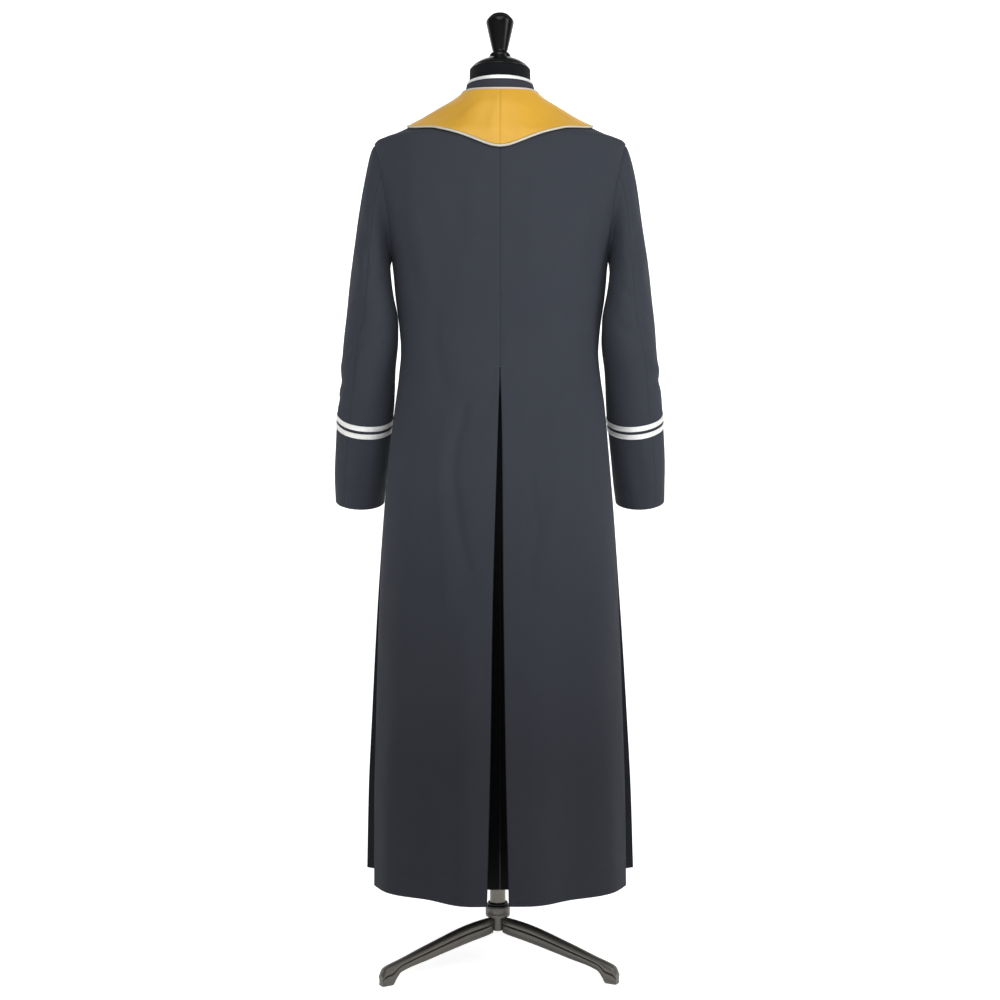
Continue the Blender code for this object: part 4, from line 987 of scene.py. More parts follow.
# Sleeve creases: side, angle and height at both ends, height of the ridge, width
SLEEVE_CREASES = (
    (1, 150.0, 1.290, 95.0, 1.235, -0.0026, 0.010),
    (1, 165.0, 1.262, 120.0, 1.215, 0.0020, 0.011),
    (1, 60.0, 1.200, 140.0, 1.150, -0.0018, 0.011),
    (1, 70.0, 1.105, 150.0, 1.075, -0.0022, 0.010),
    (1, 85.0, 1.070, 170.0, 1.050, 0.0016, 0.012),
    (1, 120.0, 1.010, 200.0, 1.035, -0.0016, 0.010),
    (1, 95.0, 0.985, 150.0, 0.968, -0.0018, 0.006),
    (1, 150.0, 1.000, 205.0, 0.985, -0.0014, 0.008),
    (1, 128.0, 1.300, 112.0, 1.010, 0.0012, 0.016),
    (1, 70.0, 0.930, 78.0, 0.820, -0.0012, 0.012),
    (-1, 152.0, 1.282, 100.0, 1.238, -0.0024, 0.010),
    (-1, 168.0, 1.250, 122.0, 1.205, 0.0018, 0.011),
    (-1, 65.0, 1.190, 145.0, 1.140, -0.0017, 0.011),
    (-1, 62.0, 1.115, 140.0, 1.088, -0.0020, 0.010),
    (-1, 90.0, 1.060, 168.0, 1.044, 0.0015, 0.012),
    (-1, 118.0, 1.020, 190.0, 1.030, -0.0016, 0.010),
    (-1, 100.0, 0.982, 158.0, 0.970, -0.0016, 0.006),
    (-1, 140.0, 1.240, 120.0, 1.020, 0.0012, 0.016),
    (-1, 74.0, 0.925, 80.0, 0.815, -0.0012, 0.012),
)
SLEEVE_GIRTH_PER_DEGREE = 0.00082
SET_IN_ROLL = 0.0014
SET_IN_WIDTH = 0.0024


def arm_section(angle, height):
    """Point of the hanging sleeve: a tilted oval at a height of the arm's middle line."""
    inner, outer, middle_y, half_depth, tilt, twist, drop, slant = along(SLEEVE, height)
    swing = np.radians(angle + twist)
    depth = half_depth * np.sin(swing)
    lean = np.radians(tilt)
    across = (outer - inner) / 2 * np.cos(swing)
    x = (inner + outer) / 2 - across - slant * depth
    return np.stack([x, middle_y + depth * np.cos(lean),
                     height - depth * np.sin(lean) - drop * across], axis=-1)


def armhole(side, angle):
    """Armhole points with the body's facing and the direction that leaves the panel."""
    def spot(at):
        swing = np.radians(at)
        width = np.where(np.sin(swing) > 0, ARM_BACK, ARM_FRONT)
        return 90.0 - width * np.sin(swing), ARM_MIDDLE - ARM_HEIGHT * np.cos(swing)
    turn, level = spot(angle)
    point = body(side, turn, level)
    facing = body_facing(side, turn, level)
    border = body(side, *spot(angle + 1.0)) - body(side, *spot(angle - 1.0))
    leave = unit(np.cross(border, facing))
    centre = body(side, 90.0, ARM_MIDDLE) + (0.02, 0.0, 0.0)
    turned_in = np.einsum("...i,...i->...", leave, centre - point) < 0
    return point, facing, np.where(turned_in[..., None], -leave, leave)


def sleeve(side, angle, place):
    """Outer face of a sleeve; place runs 0 to 1 over the sleeve head, then down the arm."""
    angle, place = np.broadcast_arrays(np.asarray(angle, float), np.asarray(place, float))
    hanging = arm_section(angle, SLEEVE_TOP - (place - 1.0))
    start, facing, leave = armhole(side, angle)
    start = start + leave * (GAP + 0.0001)
    end = arm_section(angle, np.full(angle.shape, SLEEVE_TOP))
    span = np.linalg.norm(end - start, axis=-1)[..., None]
    drop = (arm_section(angle, np.full(angle.shape, SLEEVE_TOP - 0.01)) - end) / 0.01 * span * HEAD_DROP
    lift = (1 + np.cos(np.radians(angle)))[..., None] / 2
    lean = HEAD_LEAN_UNDER * lift + HEAD_LEAN_OVER * (1 - lift)
    pull = unit(leave + lean * (1.0, 0.0, 0.0)) * (HEAD_PULL + HEAD_PULL_MORE * (1 - lift))
    t = place[..., None]
    head = (start * (2 * t ** 3 - 3 * t ** 2 + 1) + pull * (t ** 3 - 2 * t ** 2 + t)
            + end * (3 * t ** 2 - 2 * t ** 3) + drop * (t ** 3 - t ** 2))
    return np.where(t >= 1.0, hanging, head)


def sleeve_facing(side, angle, place):
    """Outward normals of a sleeve."""
    around = sleeve(side, angle + 1.0, place) - sleeve(side, angle - 1.0, place)
    lower = np.maximum(place - 0.004, 0.0)
    downward = sleeve(side, angle, place + 0.004) - sleeve(side, angle, lower)
    normal = unit(np.cross(around, downward))
    middle = sum(sleeve(side, np.full(np.shape(angle), 45.0 * k), place) for k in range(8)) / 8
    inwards = np.einsum("...i,...i->...", normal, sleeve(side, angle, place) - middle) < 0
    normal = np.where(inwards[..., None], -normal, normal)
    at_seam = armhole(side, np.broadcast_to(angle, normal.shape[:-1]))[1]
    seam = smooth_step(1 - np.broadcast_to(place, normal.shape[:-1]) / 0.06)[..., None]
    return unit(normal * (1 - seam) + at_seam * seam)


def sleeve_creases(side, angle, height):
    """How far breaks and drag lines move the sleeve's cloth."""
    out = np.zeros(np.broadcast(angle, height).shape)
    for crease_side, start_angle, start_height, end_angle, end_height, depth, width in SLEEVE_CREASES:
        if crease_side != side:
            continue
        ax = np.array([start_angle * SLEEVE_GIRTH_PER_DEGREE, start_height])
        bx = np.array([end_angle * SLEEVE_GIRTH_PER_DEGREE, end_height])
        run = bx - ax
        u = np.asarray(angle % 360.0) * SLEEVE_GIRTH_PER_DEGREE - ax[0]
        v = height - ax[1]
        t = (u * run[0] + v * run[1]) / (run @ run)
        off = (u * run[1] - v * run[0]) / np.linalg.norm(run)
        ridge = round(depth * SLEEVE_CREASE_GAIN, 4) * np.exp(-(off / width) ** 2)
        out += ridge * smooth_step(t * 3 + 0.5) * smooth_step((1 - t) * 3 + 0.5)
    swing = np.radians(angle)
    wander = np.sin(swing * 3 + 9.0 * height + side) * np.cos(41.0 * height + swing * 2)
    return out + 0.0006 * wander


def sleeve_half(name, side, first, last):
    """Top or under sleeve between two of its long seams."""
    nudge = math.degrees(GAP / 2 / 0.045)
    shares = spread_shares(46, 0.035)
    angle = first + nudge + (last - first - 2 * nudge) * shares[None, :]
    head = np.concatenate([[0.0, 0.012, 0.03, 0.055, 0.09], np.linspace(0.13, 1.0, 24)])
    arm = np.linspace(1.0, CUFF_PLACE, 74)[1:]
    hem = CUFF_PLACE - CUFF_FACING + np.array([-0.0016, 0.0, 0.0016])
    place = np.unique(np.concatenate([head, arm, hem]))[:, None]
    angle, place = np.broadcast_arrays(angle, place)
    points = sleeve(side, angle, place)
    facings = sleeve_facing(side, angle, place)
    height = points[..., 2]
    girth = np.radians(last - first) * 0.045
    near_seam = np.minimum(shares, 1 - shares)[None, :] * girth
    seam = SEAM_ROLL * np.exp(-(near_seam / SEAM_ROLL_WIDTH) ** 2)
    set_in = SET_IN_ROLL * np.exp(-((place * 0.07) / SET_IN_WIDTH) ** 2)
    calm = smooth_step(near_seam / 0.010) * smooth_step(place / 0.15)
    calm = calm * smooth_step((CUFF_PLACE - place) / 0.02 + 0.35)
    out = sleeve_creases(side, angle, height) * calm - seam - set_in
    out -= 0.0004 * np.exp(-((CUFF_PLACE - CUFF_FACING - place) / 0.0013) ** 2)
    outer = points + facings * out[..., None]
    inner = outer - facings * CLOTH
    half = shell(name, outer * (side, 1, 1), inner * (side, 1, 1), WORSTED)
    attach(half, "root")
    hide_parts(name)


for side, word in ((1, "left"), (-1, "right")):
    sleeve_half("top_sleeve_" + word, side, HIND_SEAM, FORE_SEAM)
    sleeve_half("under_sleeve_" + word, side, FORE_SEAM, HIND_SEAM + 360.0)

# Stand collar
# A low band of the same twill over stiff canvas, cut on the round, rising from the neck seam
# and leaning in to the neck. Its two ends meet at the centre front.
COLLAR_TOP_Z = 1.5480
COLLAR_FRONT_Z = 1.485
COLLAR_LEAN = 0.115
COLLAR_LEAN_FRONT = 0.070
COLLAR_CUT = 1.0


def collar_top_z(turn):
    drop = smooth_step((np.abs(turn) - 90) / 90)
    return COLLAR_TOP_Z + (COLLAR_FRONT_Z - COLLAR_TOP_Z) * drop


def collar(turn, part):
    """Outer face of the stand collar and its facing; part runs from the neck seam to the top."""
    turn, part = np.broadcast_arrays(np.asarray(turn, float), np.asarray(part, float))
    hand = np.where(turn >= 0, 1.0, -1.0)
    base = body(1, np.abs(turn), np.full(turn.shape, NECK_SIDE_Z))
    low = base[..., 2] + 0.0006
    lean = COLLAR_LEAN + (COLLAR_LEAN_FRONT - COLLAR_LEAN) * smooth_step((np.abs(turn) - 90) / 60)
    keep = 1 - lean * part
    height = low + (collar_top_z(turn) - low) * part
    out = body_facing(1, np.abs(turn), np.full(turn.shape, NECK_SIDE_Z)) * (1.0, 1.0, 0.0)
    out = unit(out) * np.stack([hand, np.ones_like(hand), np.ones_like(hand)], axis=-1)
    return np.stack([base[..., 0] * keep * hand, base[..., 1] * keep, height], axis=-1), out


half_round = 180.0 - COLLAR_CUT
collar_turns = np.linspace(half_round, -half_round, 181)[None, :]
collar_parts = np.concatenate([[0.0, 0.03, 0.08], np.linspace(0.15, 0.92, 10), [0.97, 1.0]])[:, None]
points, facings = collar(collar_turns, collar_parts)
bow = 0.0006 * np.sin(math.pi * collar_parts) * np.sin(np.radians(collar_turns) * 4 + 0.6)
top_roll = 0.0005 * (smooth_step((collar_parts - 0.93) / 0.07) + smooth_step((0.06 - collar_parts) / 0.06))
outer = points + facings * (np.broadcast_to(bow - top_roll, facings.shape[:2]))[..., None]
stand = shell("collar_stand", outer, outer - facings * CLOTH, WORSTED)
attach(stand, "root")
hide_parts("collar_stand")

# Cape collar
# Two halves of gold satin, seamed at the centre back, lined, and laid over the shoulders
# from the neck seam. The satin is firm and shows only shallow breaks beside the seam.
CAPE_LIFT = 0.0024
CAPE_CLOTH = 0.0012
CAPE_FRONT_CUT = 2.0
PIPING = 0.0021
NECK_PIPING_RISE = 0.00125
# Lower edge of the cape: turn, level
CAPE_EDGE = (
    (0.0, 1.4146), (3.0, 1.4162), (5.0, 1.4188), (10.0, 1.4272), (14.0, 1.4340), (19.0, 1.4410),
    (27.0, 1.4468), (38.0, 1.4530), (55.0, 1.4580), (90.0, 1.4710), (110.0, 1.4640),
    (125.0, 1.4530), (155.0, 1.4050), (180.0, 1.3600),
)
# Breaks in the satin: face, height, width, then z and x of points down each one
CAPE_BREAKS = (
    (1, 0.0011, 0.009, (1.496, 0.0300), (1.478, 0.0480), (1.462, 0.0640)),
    (1, -0.0009, 0.007, (1.478, 0.0200), (1.455, 0.0250), (1.425, 0.0220)),
    (1, 0.0008, 0.008, (1.470, 0.0120), (1.450, 0.0140), (1.425, 0.0130)),
    (1, -0.0008, 0.010, (1.490, 0.0620), (1.475, 0.0850), (1.465, 0.1050)),
    (1, 0.0009, 0.010, (1.492, -0.0380), (1.476, -0.0560), (1.458, -0.0700)),
    (1, -0.0007, 0.008, (1.480, -0.0180), (1.450, -0.0220), (1.430, -0.0200)),
    (-1, 0.0010, 0.010, (1.460, 0.0500), (1.430, 0.0620), (1.400, 0.0680)),
    (-1, 0.0010, 0.010, (1.455, -0.0520), (1.425, -0.0600), (1.395, -0.0700)),
)


def gold_satin():
    """Heavy duchesse satin: fine warp lines, a soft broken gloss and slow changes of tone."""
    finish, tree, shader = new_finish("gold_satin", 0.46, 0.0, Specular_IOR_Level=0.38, Sheen_Weight=0.12,
                                      Sheen_Roughness=0.35, Sheen_Tint=(1.0, 0.86, 0.55, 1.0))
    cloth = cloth_place(tree)
    warp = noise(tree, stretched(tree, cloth, (900.0, 35.0, 1.0)), 1.0, 3.0)
    slow = noise(tree, object_place(tree), 14.0, 2.0)
    both = add_node(tree, "ShaderNodeMix", {0: 0.35, 2: slow, 3: warp}).outputs[0]
    colour = mixed_colour(tree, both, (0.540, 0.283, 0.020), (0.695, 0.388, 0.032))
    tree.links.new(colour, shader.inputs["Base Color"])
    uneven_gloss(tree, shader, warp, 0.38, 0.56)
    weft = yarn_waves(tree, cloth, 620.0, 0.3, "Y")
    raised_grain(tree, shader, added(tree, weft, warp), 0.00007, 0.35)
    return finish


GOLD_SATIN = gold_satin()


def neck_piping_offset(side, turn):
    """From the neck seam to the middle of the piping that lies in the collar's corner."""
    out = unit(body_facing(side, turn, NECK_SIDE_Z) * (1.0, 1.0, 0.0))
    return out * (PIPING + 2 * GAP) + (0.0, 0.0, NECK_PIPING_RISE)


def cape_level(side, turn, share):
    """Level on the cape: share 0 at its neck edge beside the piping, 1 at the lower edge."""
    turn = np.asarray(turn, float)
    top = np.full(turn.shape, NECK_SIDE_Z)
    down = body(side, turn, top - 0.002) - body(side, turn, top)
    reach = np.einsum("...i,...i->...", neck_piping_offset(side, turn), unit(down)) + PIPING + GAP
    upper = NECK_SIDE_Z - 0.002 * reach / np.linalg.norm(down, axis=-1)
    return upper - (upper - along(CAPE_EDGE, turn)[0]) * share


def cape_face(side, turn, share, lift):
    level = cape_level(side, turn, share)
    points = body(side, turn, level)
    facings = body_facing(side, turn, level)
    return points + facings * np.asarray(lift)[..., None], facings


def cape_half(name, side):
    first = turn_at(side, 0.0, CAPE_EDGE[0][1], GAP / 2)
    last = 180.0 - CAPE_FRONT_CUT
    shares = spread_shares(110, 0.016)
    share = np.concatenate([[0.0, 0.01, 0.03], np.linspace(0.06, 0.94, 26), [0.97, 0.99, 1.0]])[:, None]
    turn = first + (last - first) * np.broadcast_to(shares, (len(share), len(shares)))
    seam_levels = cape_level(side, 0.0, share[:, 0])
    seam_turns = np.array([turn_at(side, 0.0, level, GAP / 2) for level in seam_levels])
    turn = turn + (seam_turns[:, None] - first) * smooth_step(1 - shares / 0.05)
    points = cape_face(side, turn, share, np.zeros(turn.shape))[0]
    breaks = crease_depth(points * (side, 1, 1), CAPE_BREAKS, ())
    walked = np.linalg.norm(points - points[:, :1], axis=-1)
    calm = smooth_step(walked / 0.010) * smooth_step((1 - share) / 0.08) * smooth_step(share / 0.10)
    seam = SEAM_ROLL * np.exp(-(walked / SEAM_ROLL_WIDTH) ** 2)
    lift = CAPE_LIFT + np.clip(breaks * calm, -0.0009, 0.0020) - seam * 0.8
    inner = cape_face(side, turn, share, lift)[0]
    outer = cape_face(side, turn, share, lift + CAPE_CLOTH)[0]
    cape = shell(name, outer * (side, 1, 1), inner * (side, 1, 1), GOLD_SATIN)
    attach(cape, "root")
    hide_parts(name)


cape_half("cape_left", 1)
cape_half("cape_right", -1)

# Piping
# Cord covered with ivory satin cut on the bias, caught in the cape's lower edge and in the
# corner between the cape and the stand collar.
PIPING_SIDES = 14
PIPING_RINGS = 301


def ivory_satin():
    """Bias satin over a cord: fine slanting yarns and a soft cream tone."""
    finish, tree, shader = new_finish("ivory_satin", 0.50, 0.0, Specular_IOR_Level=0.35, Sheen_Weight=0.10)
    cloth = cloth_place(tree)
    mottled_colour(tree, shader, cloth, (0.60, 0.565, 0.475), (0.50, 0.465, 0.385), 60.0)
    raised_grain(tree, shader, yarn_waves(tree, cloth, 420.0, 0.6, "DIAGONAL"), 0.00010, 0.5)
    return finish


IVORY_SATIN = ivory_satin()


def piping_cord(name, centres, first_axis, second_axis):
    """Round cord through centres, with its two cross directions and lengths at every centre."""
    ray = math.tau * np.arange(PIPING_SIDES) / PIPING_SIDES
    rings = (centres[:, None] + first_axis[:, None] * np.cos(ray)[None, :, None]
             + second_axis[:, None] * np.sin(ray)[None, :, None])
    points, faces = joined_rings(rings + (0.0, SHIFT_Y, 0.0))
    walked = np.concatenate([[0.0], np.cumsum(np.linalg.norm(np.diff(centres, axis=0), axis=-1))])
    across = np.stack(np.broadcast_arrays(walked[:, None], ray * PIPING), axis=-1).reshape(-1, 2)
    cord = new_piece(name, points, faces, IVORY_SATIN, across=np.vstack([across, across[:1], across[-1:]]))
    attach(cord, "root")
    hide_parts(name)


def piping_turns():
    half = 180.0 - CAPE_FRONT_CUT
    turn = np.linspace(half, -half, PIPING_RINGS)
    return turn, np.where(turn >= 0, 1.0, -1.0)[:, None] * (1.0, 0.0, 0.0) + (0.0, 1.0, 1.0)


turn, hand = piping_turns()
edge, facing = cape_face(1, np.abs(turn), 1.0, np.zeros(turn.shape))
edge, facing = edge * hand, facing * hand
onward = np.gradient(edge, axis=0)
down = unit(np.cross(facing, onward))
down = np.where(down[:, 2:] > 0, -down, down)
centres = edge + facing * (CAPE_LIFT + CAPE_CLOTH / 2) + down * (PIPING + 2 * GAP)
piping_cord("cape_piping", centres, down * PIPING, facing * PIPING * 0.8)

seam_level = np.full(turn.shape, NECK_SIDE_Z)
base = body(1, np.abs(turn), seam_level) * hand
outward = unit(body_facing(1, np.abs(turn), seam_level) * (1.0, 1.0, 0.0)) * hand
centres = base + neck_piping_offset(1, np.abs(turn)) * hand
piping_cord("neck_piping", centres, outward * PIPING, np.full(outward.shape, PIPING) * (0.0, 0.0, 1.0))

# Silver braid
# Flat braid woven in two slanting rows of silver thread, 8 mm wide. Two lines go round each
# sleeve above the cuff and one runs along the top of the stand collar.
BRAID_WIDTH = 0.008
BRAID_GAP = 0.005
BRAID_TOP = 0.9675
BRAID_THICK = 0.0008
BRAID_PITCH = 0.00125
BRAID_THREAD = (0.0046, 0.00105, 0.00075)
BRAID_SLANT = math.radians(38.0)


def silver_thread():
    """Silver-wrapped thread, pale and only half metallic, a little tarnished between the rows."""
    finish, tree, shader = new_finish("silver_thread", 0.38, 0.45, Specular_IOR_Level=0.5)
    place = object_place(tree)
    mottled_colour(tree, shader, place, (0.93, 0.93, 0.92), (0.70, 0.70, 0.69), 240.0)
    raised_grain(tree, shader, noise(tree, place, 1800.0, 2.0), 0.00008, 0.5)
    return finish


def laid_threads_tree():
    """Threads laid one on each point, along and facing the vectors stored there, turned by a slant."""
    tree = bpy.data.node_groups.new("laid_threads", "GeometryNodeTree")
    face = tree.interface
    face.new_socket("Geometry", in_out="INPUT", socket_type="NodeSocketGeometry")
    for name in ("Thread length", "Thread width", "Thread height"):
        face.new_socket(name, in_out="INPUT", socket_type="NodeSocketFloat")
    face.new_socket("Thread finish", in_out="INPUT", socket_type="NodeSocketMaterial")
    face.new_socket("Geometry", in_out="OUTPUT", socket_type="NodeSocketGeometry")
    given = add_node(tree, "NodeGroupInput").outputs
    size = add_node(tree, "ShaderNodeCombineXYZ", {0: given["Thread length"], 1: given["Thread width"],
                                                   2: given["Thread height"]})
    bead = add_node(tree, "GeometryNodeMeshUVSphere", {"Segments": 8, "Rings": 4, "Radius": 0.5})
    turned = add_node(tree, "GeometryNodeTransform", {"Geometry": bead.outputs[0]})
    turned.inputs["Rotation"].default_value = (0.0, math.pi / 2, 0.0)
    thread = add_node(tree, "GeometryNodeTransform", {"Geometry": turned.outputs[0],
                                                      "Scale": size.outputs[0]})
    smooth = add_node(tree, "GeometryNodeSetShadeSmooth", {0: thread.outputs[0]})
    along_it, facing, slant = (
        add_node(tree, "GeometryNodeInputNamedAttribute", {"Name": key}, data_type=kind)
        for key, kind in (("along", "FLOAT_VECTOR"), ("facing", "FLOAT_VECTOR"), ("slant", "FLOAT")))
    upright = add_node(tree, "FunctionNodeAlignRotationToVector", {"Vector": facing.outputs[0]}, axis="Z")
    aimed = add_node(tree, "FunctionNodeAlignRotationToVector", {"Rotation": upright.outputs[0],
                     "Vector": along_it.outputs[0]}, axis="X", pivot_axis="Z")
    lean = add_node(tree, "ShaderNodeCombineXYZ", {2: slant.outputs[0]})
    slanted = add_node(tree, "FunctionNodeRotateRotation", {"Rotation": aimed.outputs[0],
                       "Rotate By": lean.outputs[0]}, rotation_space="LOCAL")
    laid = add_node(tree, "GeometryNodeInstanceOnPoints", {"Points": given["Geometry"],
                    "Instance": smooth.outputs[0], "Rotation": slanted.outputs[0]})
    real = add_node(tree, "GeometryNodeRealizeInstances", {0: laid.outputs[0]})
    finished = add_node(tree, "GeometryNodeSetMaterial", {"Geometry": real.outputs[0],
                        "Material": given["Thread finish"]})
    add_node(tree, "NodeGroupOutput", {0: finished.outputs[0]})
    return tree


LAID_THREADS = laid_threads_tree()


def laid_threads(name, points, along_it, facing, slant, size, finish):
    """Piece of threads at points; size is a thread's length, width and height."""
    mesh = bpy.data.meshes.new(name)
    mesh.from_pydata((points + (0.0, SHIFT_Y, 0.0)).tolist(), [], [])
    for key, kind, field, values in (("along", "FLOAT_VECTOR", "vector", along_it),
                                     ("facing", "FLOAT_VECTOR", "vector", facing),
                                     ("slant", "FLOAT", "value", slant)):
        mesh.attributes.new(key, kind, "POINT").data.foreach_set(field, np.ravel(values).astype(np.float32))
    seeds = bpy.data.objects.new(name + "_points", mesh)
    bpy.context.scene.collection.objects.link(seeds)
    grow = seeds.modifiers.new("threads", "NODES")
    grow.node_group = LAID_THREADS
    sizes = {"Thread length": size[0], "Thread width": size[1], "Thread height": size[2],
             "Thread finish": finish}
    for item in LAID_THREADS.interface.items_tree:
        if item.in_out == "INPUT" and item.name in sizes:
            grow[item.identifier] = sizes[item.name]
    seen = seeds.evaluated_get(bpy.context.evaluated_depsgraph_get())
    made = bpy.data.meshes.new_from_object(seen)
    bpy.data.objects.remove(seeds)
    piece = bpy.data.objects.new(name, made)
    bpy.context.scene.collection.objects.link(piece)
    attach(piece, "root")


def even_places(points, pitch):
    """Places along a polyline at an even pitch, as fractional indices."""
    walked = np.concatenate([[0.0], np.cumsum(np.linalg.norm(np.diff(points, axis=0), axis=-1))])
    wanted = np.arange(pitch / 2, walked[-1], pitch)
    return np.interp(wanted, walked, np.arange(len(points)))


def picked(values, places):
    """Rows of an array read at fractional indices."""
    low = np.floor(places).astype(int)
    low = np.minimum(low, len(values) - 2)
    t = (places - low)[:, None]
    return values[low] * (1 - t) + values[low + 1] * t


def braid_threads(name, low_edge, high_edge, facing, finish):
    """Two slanting rows of threads over a flat braid between its two edges."""
    rows = [[], [], [], []]
    for share, lean in ((0.27, 1.0), (0.73, -1.0)):
        line = low_edge * (1 - share) + high_edge * share
        places = even_places(line, BRAID_PITCH)
        at = picked(line, places)
        out = unit(picked(facing, places))
        onward = unit(picked(np.gradient(line, axis=0), places))
        rows[0].append(at + out * (GAP + BRAID_THICK))
        rows[1].append(onward)
        rows[2].append(out)
        rows[3].append(np.full(len(places), lean * BRAID_SLANT))
    points, onward, out, slant = (np.concatenate(part) for part in rows)
    laid_threads(name, points, onward, out, slant, BRAID_THREAD, finish)


SILVER = silver_thread()


def sleeve_braid(side, word, line, top):
    """One line of braid round a sleeve: its flat ground and its threads."""
    angle = np.linspace(0.0, 360.0, 145)[None, :]
    place = np.array([top, top + BRAID_WIDTH * 0.5, top + BRAID_WIDTH])[:, None]
    angle, place = np.broadcast_arrays(angle, place)
    points = sleeve(side, angle, place)
    facing = sleeve_facing(side, angle, place)
    points = (points + facing * sleeve_creases(side, angle, points[..., 2])[..., None]) * (side, 1, 1)
    facing = facing * (side, 1, 1)
    ground = shell("braid_{}_{}".format(line, word), (points + facing * (GAP + BRAID_THICK))[:, :-1],
                   (points + facing * GAP)[:, :-1], SILVER, ring=True)
    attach(ground, "root")
    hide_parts("braid_{}_{}".format(line, word))
    braid_threads("braid_threads_{}_{}".format(line, word), points[0], points[2], facing[1], SILVER)


for side, word in ((1, "left"), (-1, "right")):
    for index, line in enumerate(("upper", "lower")):
        top = 1.0 + SLEEVE_TOP - BRAID_TOP + index * (BRAID_WIDTH + BRAID_GAP)
        sleeve_braid(side, word, line, top)

COLLAR_BRAID_FROM = 0.76
parts = np.array([COLLAR_BRAID_FROM, 0.87, 0.995])[:, None]
points, facings = collar(collar_turns, parts)
band = shell("collar_braid", points + facings * (GAP + BRAID_THICK), points + facings * GAP, SILVER)
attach(band, "root")
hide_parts("collar_braid")
braid_threads("collar_braid_threads", points[0], points[2], facings[1], SILVER)

# Front buttons
# Fourteen corozo buttons turned with a rim and a dish, drilled with four holes and sewn
# through the left front with crossed grey thread. Each one comes out of a worked buttonhole.
BUTTON_TOP_Z = 1.330
BUTTON_PITCH = 0.070
BUTTON_COUNT = 14
BUTTON_LIFT = 0.0006
BUTTON_STEPS = 56
# Button: radius, height above its underside, from the middle of the dish round to the back
BUTTON_PROFILE = (
    (0.0036, 0.0019), (0.0042, 0.0020), (0.0047, 0.0023), (0.0052, 0.0027), (0.0057, 0.0030),
    (0.0062, 0.0032), (0.0067, 0.0031), (0.0071, 0.0028), (0.0074, 0.0023), (0.0075, 0.0017),
    (0.0074, 0.0010), (0.0070, 0.0004), (0.0062, 0.0001), (0.0040, 0.0000),
)
DISH_HEIGHT = 0.0019
DISH_RADII = (0.0001, 0.0005, 0.0008, 0.0010, 0.0012, 0.0014, 0.0016, 0.0018, 0.0020, 0.0022, 0.0024, 0.0027,
              0.0030, 0.0033)
HOLE_OUT = 0.0016
HOLE_RADIUS = 0.00055
HOLE_DEPTH = 0.0012
BUTTON_THREAD = (0.0040, 0.00045, 0.00035)
BUTTONHOLE_END = -0.0150
BUTTONHOLE_START = 0.0030
BUTTONHOLE_PITCH = 0.00075
BUTTONHOLE_THREAD = (0.0021, 0.00055, 0.00040)


def corozo():
    """Turned nut: dark grey with streaks that run across the button, polished on the rim."""
    finish, tree, shader = new_finish("corozo", 0.30, 0.0, Specular_IOR_Level=0.4)
    place = object_place(tree)
    streaks = stretched(tree, place, (900.0, 900.0, 180.0))
    mottled_colour(tree, shader, streaks, (0.046, 0.049, 0.057), (0.022, 0.024, 0.029), 1.0)
    uneven_gloss(tree, shader, noise(tree, place, 900.0, 2.0), 0.22, 0.42)
    return finish


def sewing_thread(name, light, dark):
    """Twisted sewing thread, a little lighter than the cloth that it lies on."""
    finish, tree, shader = new_finish(name, 0.6, 0.0, Specular_IOR_Level=0.3)
    mottled_colour(tree, shader, object_place(tree), light, dark, 1500.0)
    return finish


COROZO = corozo()
GREY_THREAD = sewing_thread("grey_thread", (0.085, 0.090, 0.102), (0.046, 0.050, 0.058))
GOLD_THREAD = sewing_thread("gold_thread", (0.78, 0.46, 0.080), (0.58, 0.32, 0.050))
RIGHT = np.array([1.0, 0.0, 0.0])


def front_line():
    """Outer face of the left front down the centre line, from the hem up."""
    level = np.linspace(HEM_Z, NECK_SIDE_Z - 0.01, 500)
    turn = np.full(level.shape, 180.0)
    points = body(1, turn, level)
    facings = body_facing(1, turn, level)
    facings = np.where(level[:, None] <= WAIST_Z, unit(facings * (1.0, 1.0, 0.0)), facings)
    worn = np.array([worn_depth(point, at) for point, at in zip(points, level)])
    return points + facings * worn[:, None], facings


FRONT_LINE, FRONT_FACING = front_line()


def on_front(z):
    """Point, facing and upward direction on the centre front at heights."""
    point = np.stack([np.interp(z, FRONT_LINE[:, 2], FRONT_LINE[:, k]) for k in range(3)], axis=-1)
    facing = unit(np.stack([np.interp(z, FRONT_LINE[:, 2], FRONT_FACING[:, k]) for k in range(3)], axis=-1))
    return point, facing, unit(np.cross(RIGHT, facing))


def turned_button(name, z):
    point, facing, up = on_front(z)
    profile = np.array([(radius, DISH_HEIGHT) for radius in DISH_RADII] + list(BUTTON_PROFILE))
    ray = math.tau * np.arange(BUTTON_STEPS) / BUTTON_STEPS
    radius, height = profile[:, :1], np.broadcast_to(profile[:, 1:], (len(profile), BUTTON_STEPS))
    across, upward = radius * np.cos(ray), radius * np.sin(ray)
    off = np.hypot(np.abs(across) - HOLE_OUT * math.sqrt(0.5), np.abs(upward) - HOLE_OUT * math.sqrt(0.5))
    drilled = HOLE_DEPTH * smooth_step((HOLE_RADIUS * 1.25 - off) / (HOLE_RADIUS * 0.5))
    height = height - np.where(height > 0.0018, drilled, 0.0)
    rings = (point + facing * BUTTON_LIFT + across[..., None] * RIGHT + upward[..., None] * up
             + height[..., None] * facing + (0.0, SHIFT_Y, 0.0))
    points, faces = joined_rings(rings)
    button = new_piece(name, points, faces, COROZO, smooth_angle=60.0)
    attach(button, "root")
    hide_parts(name)


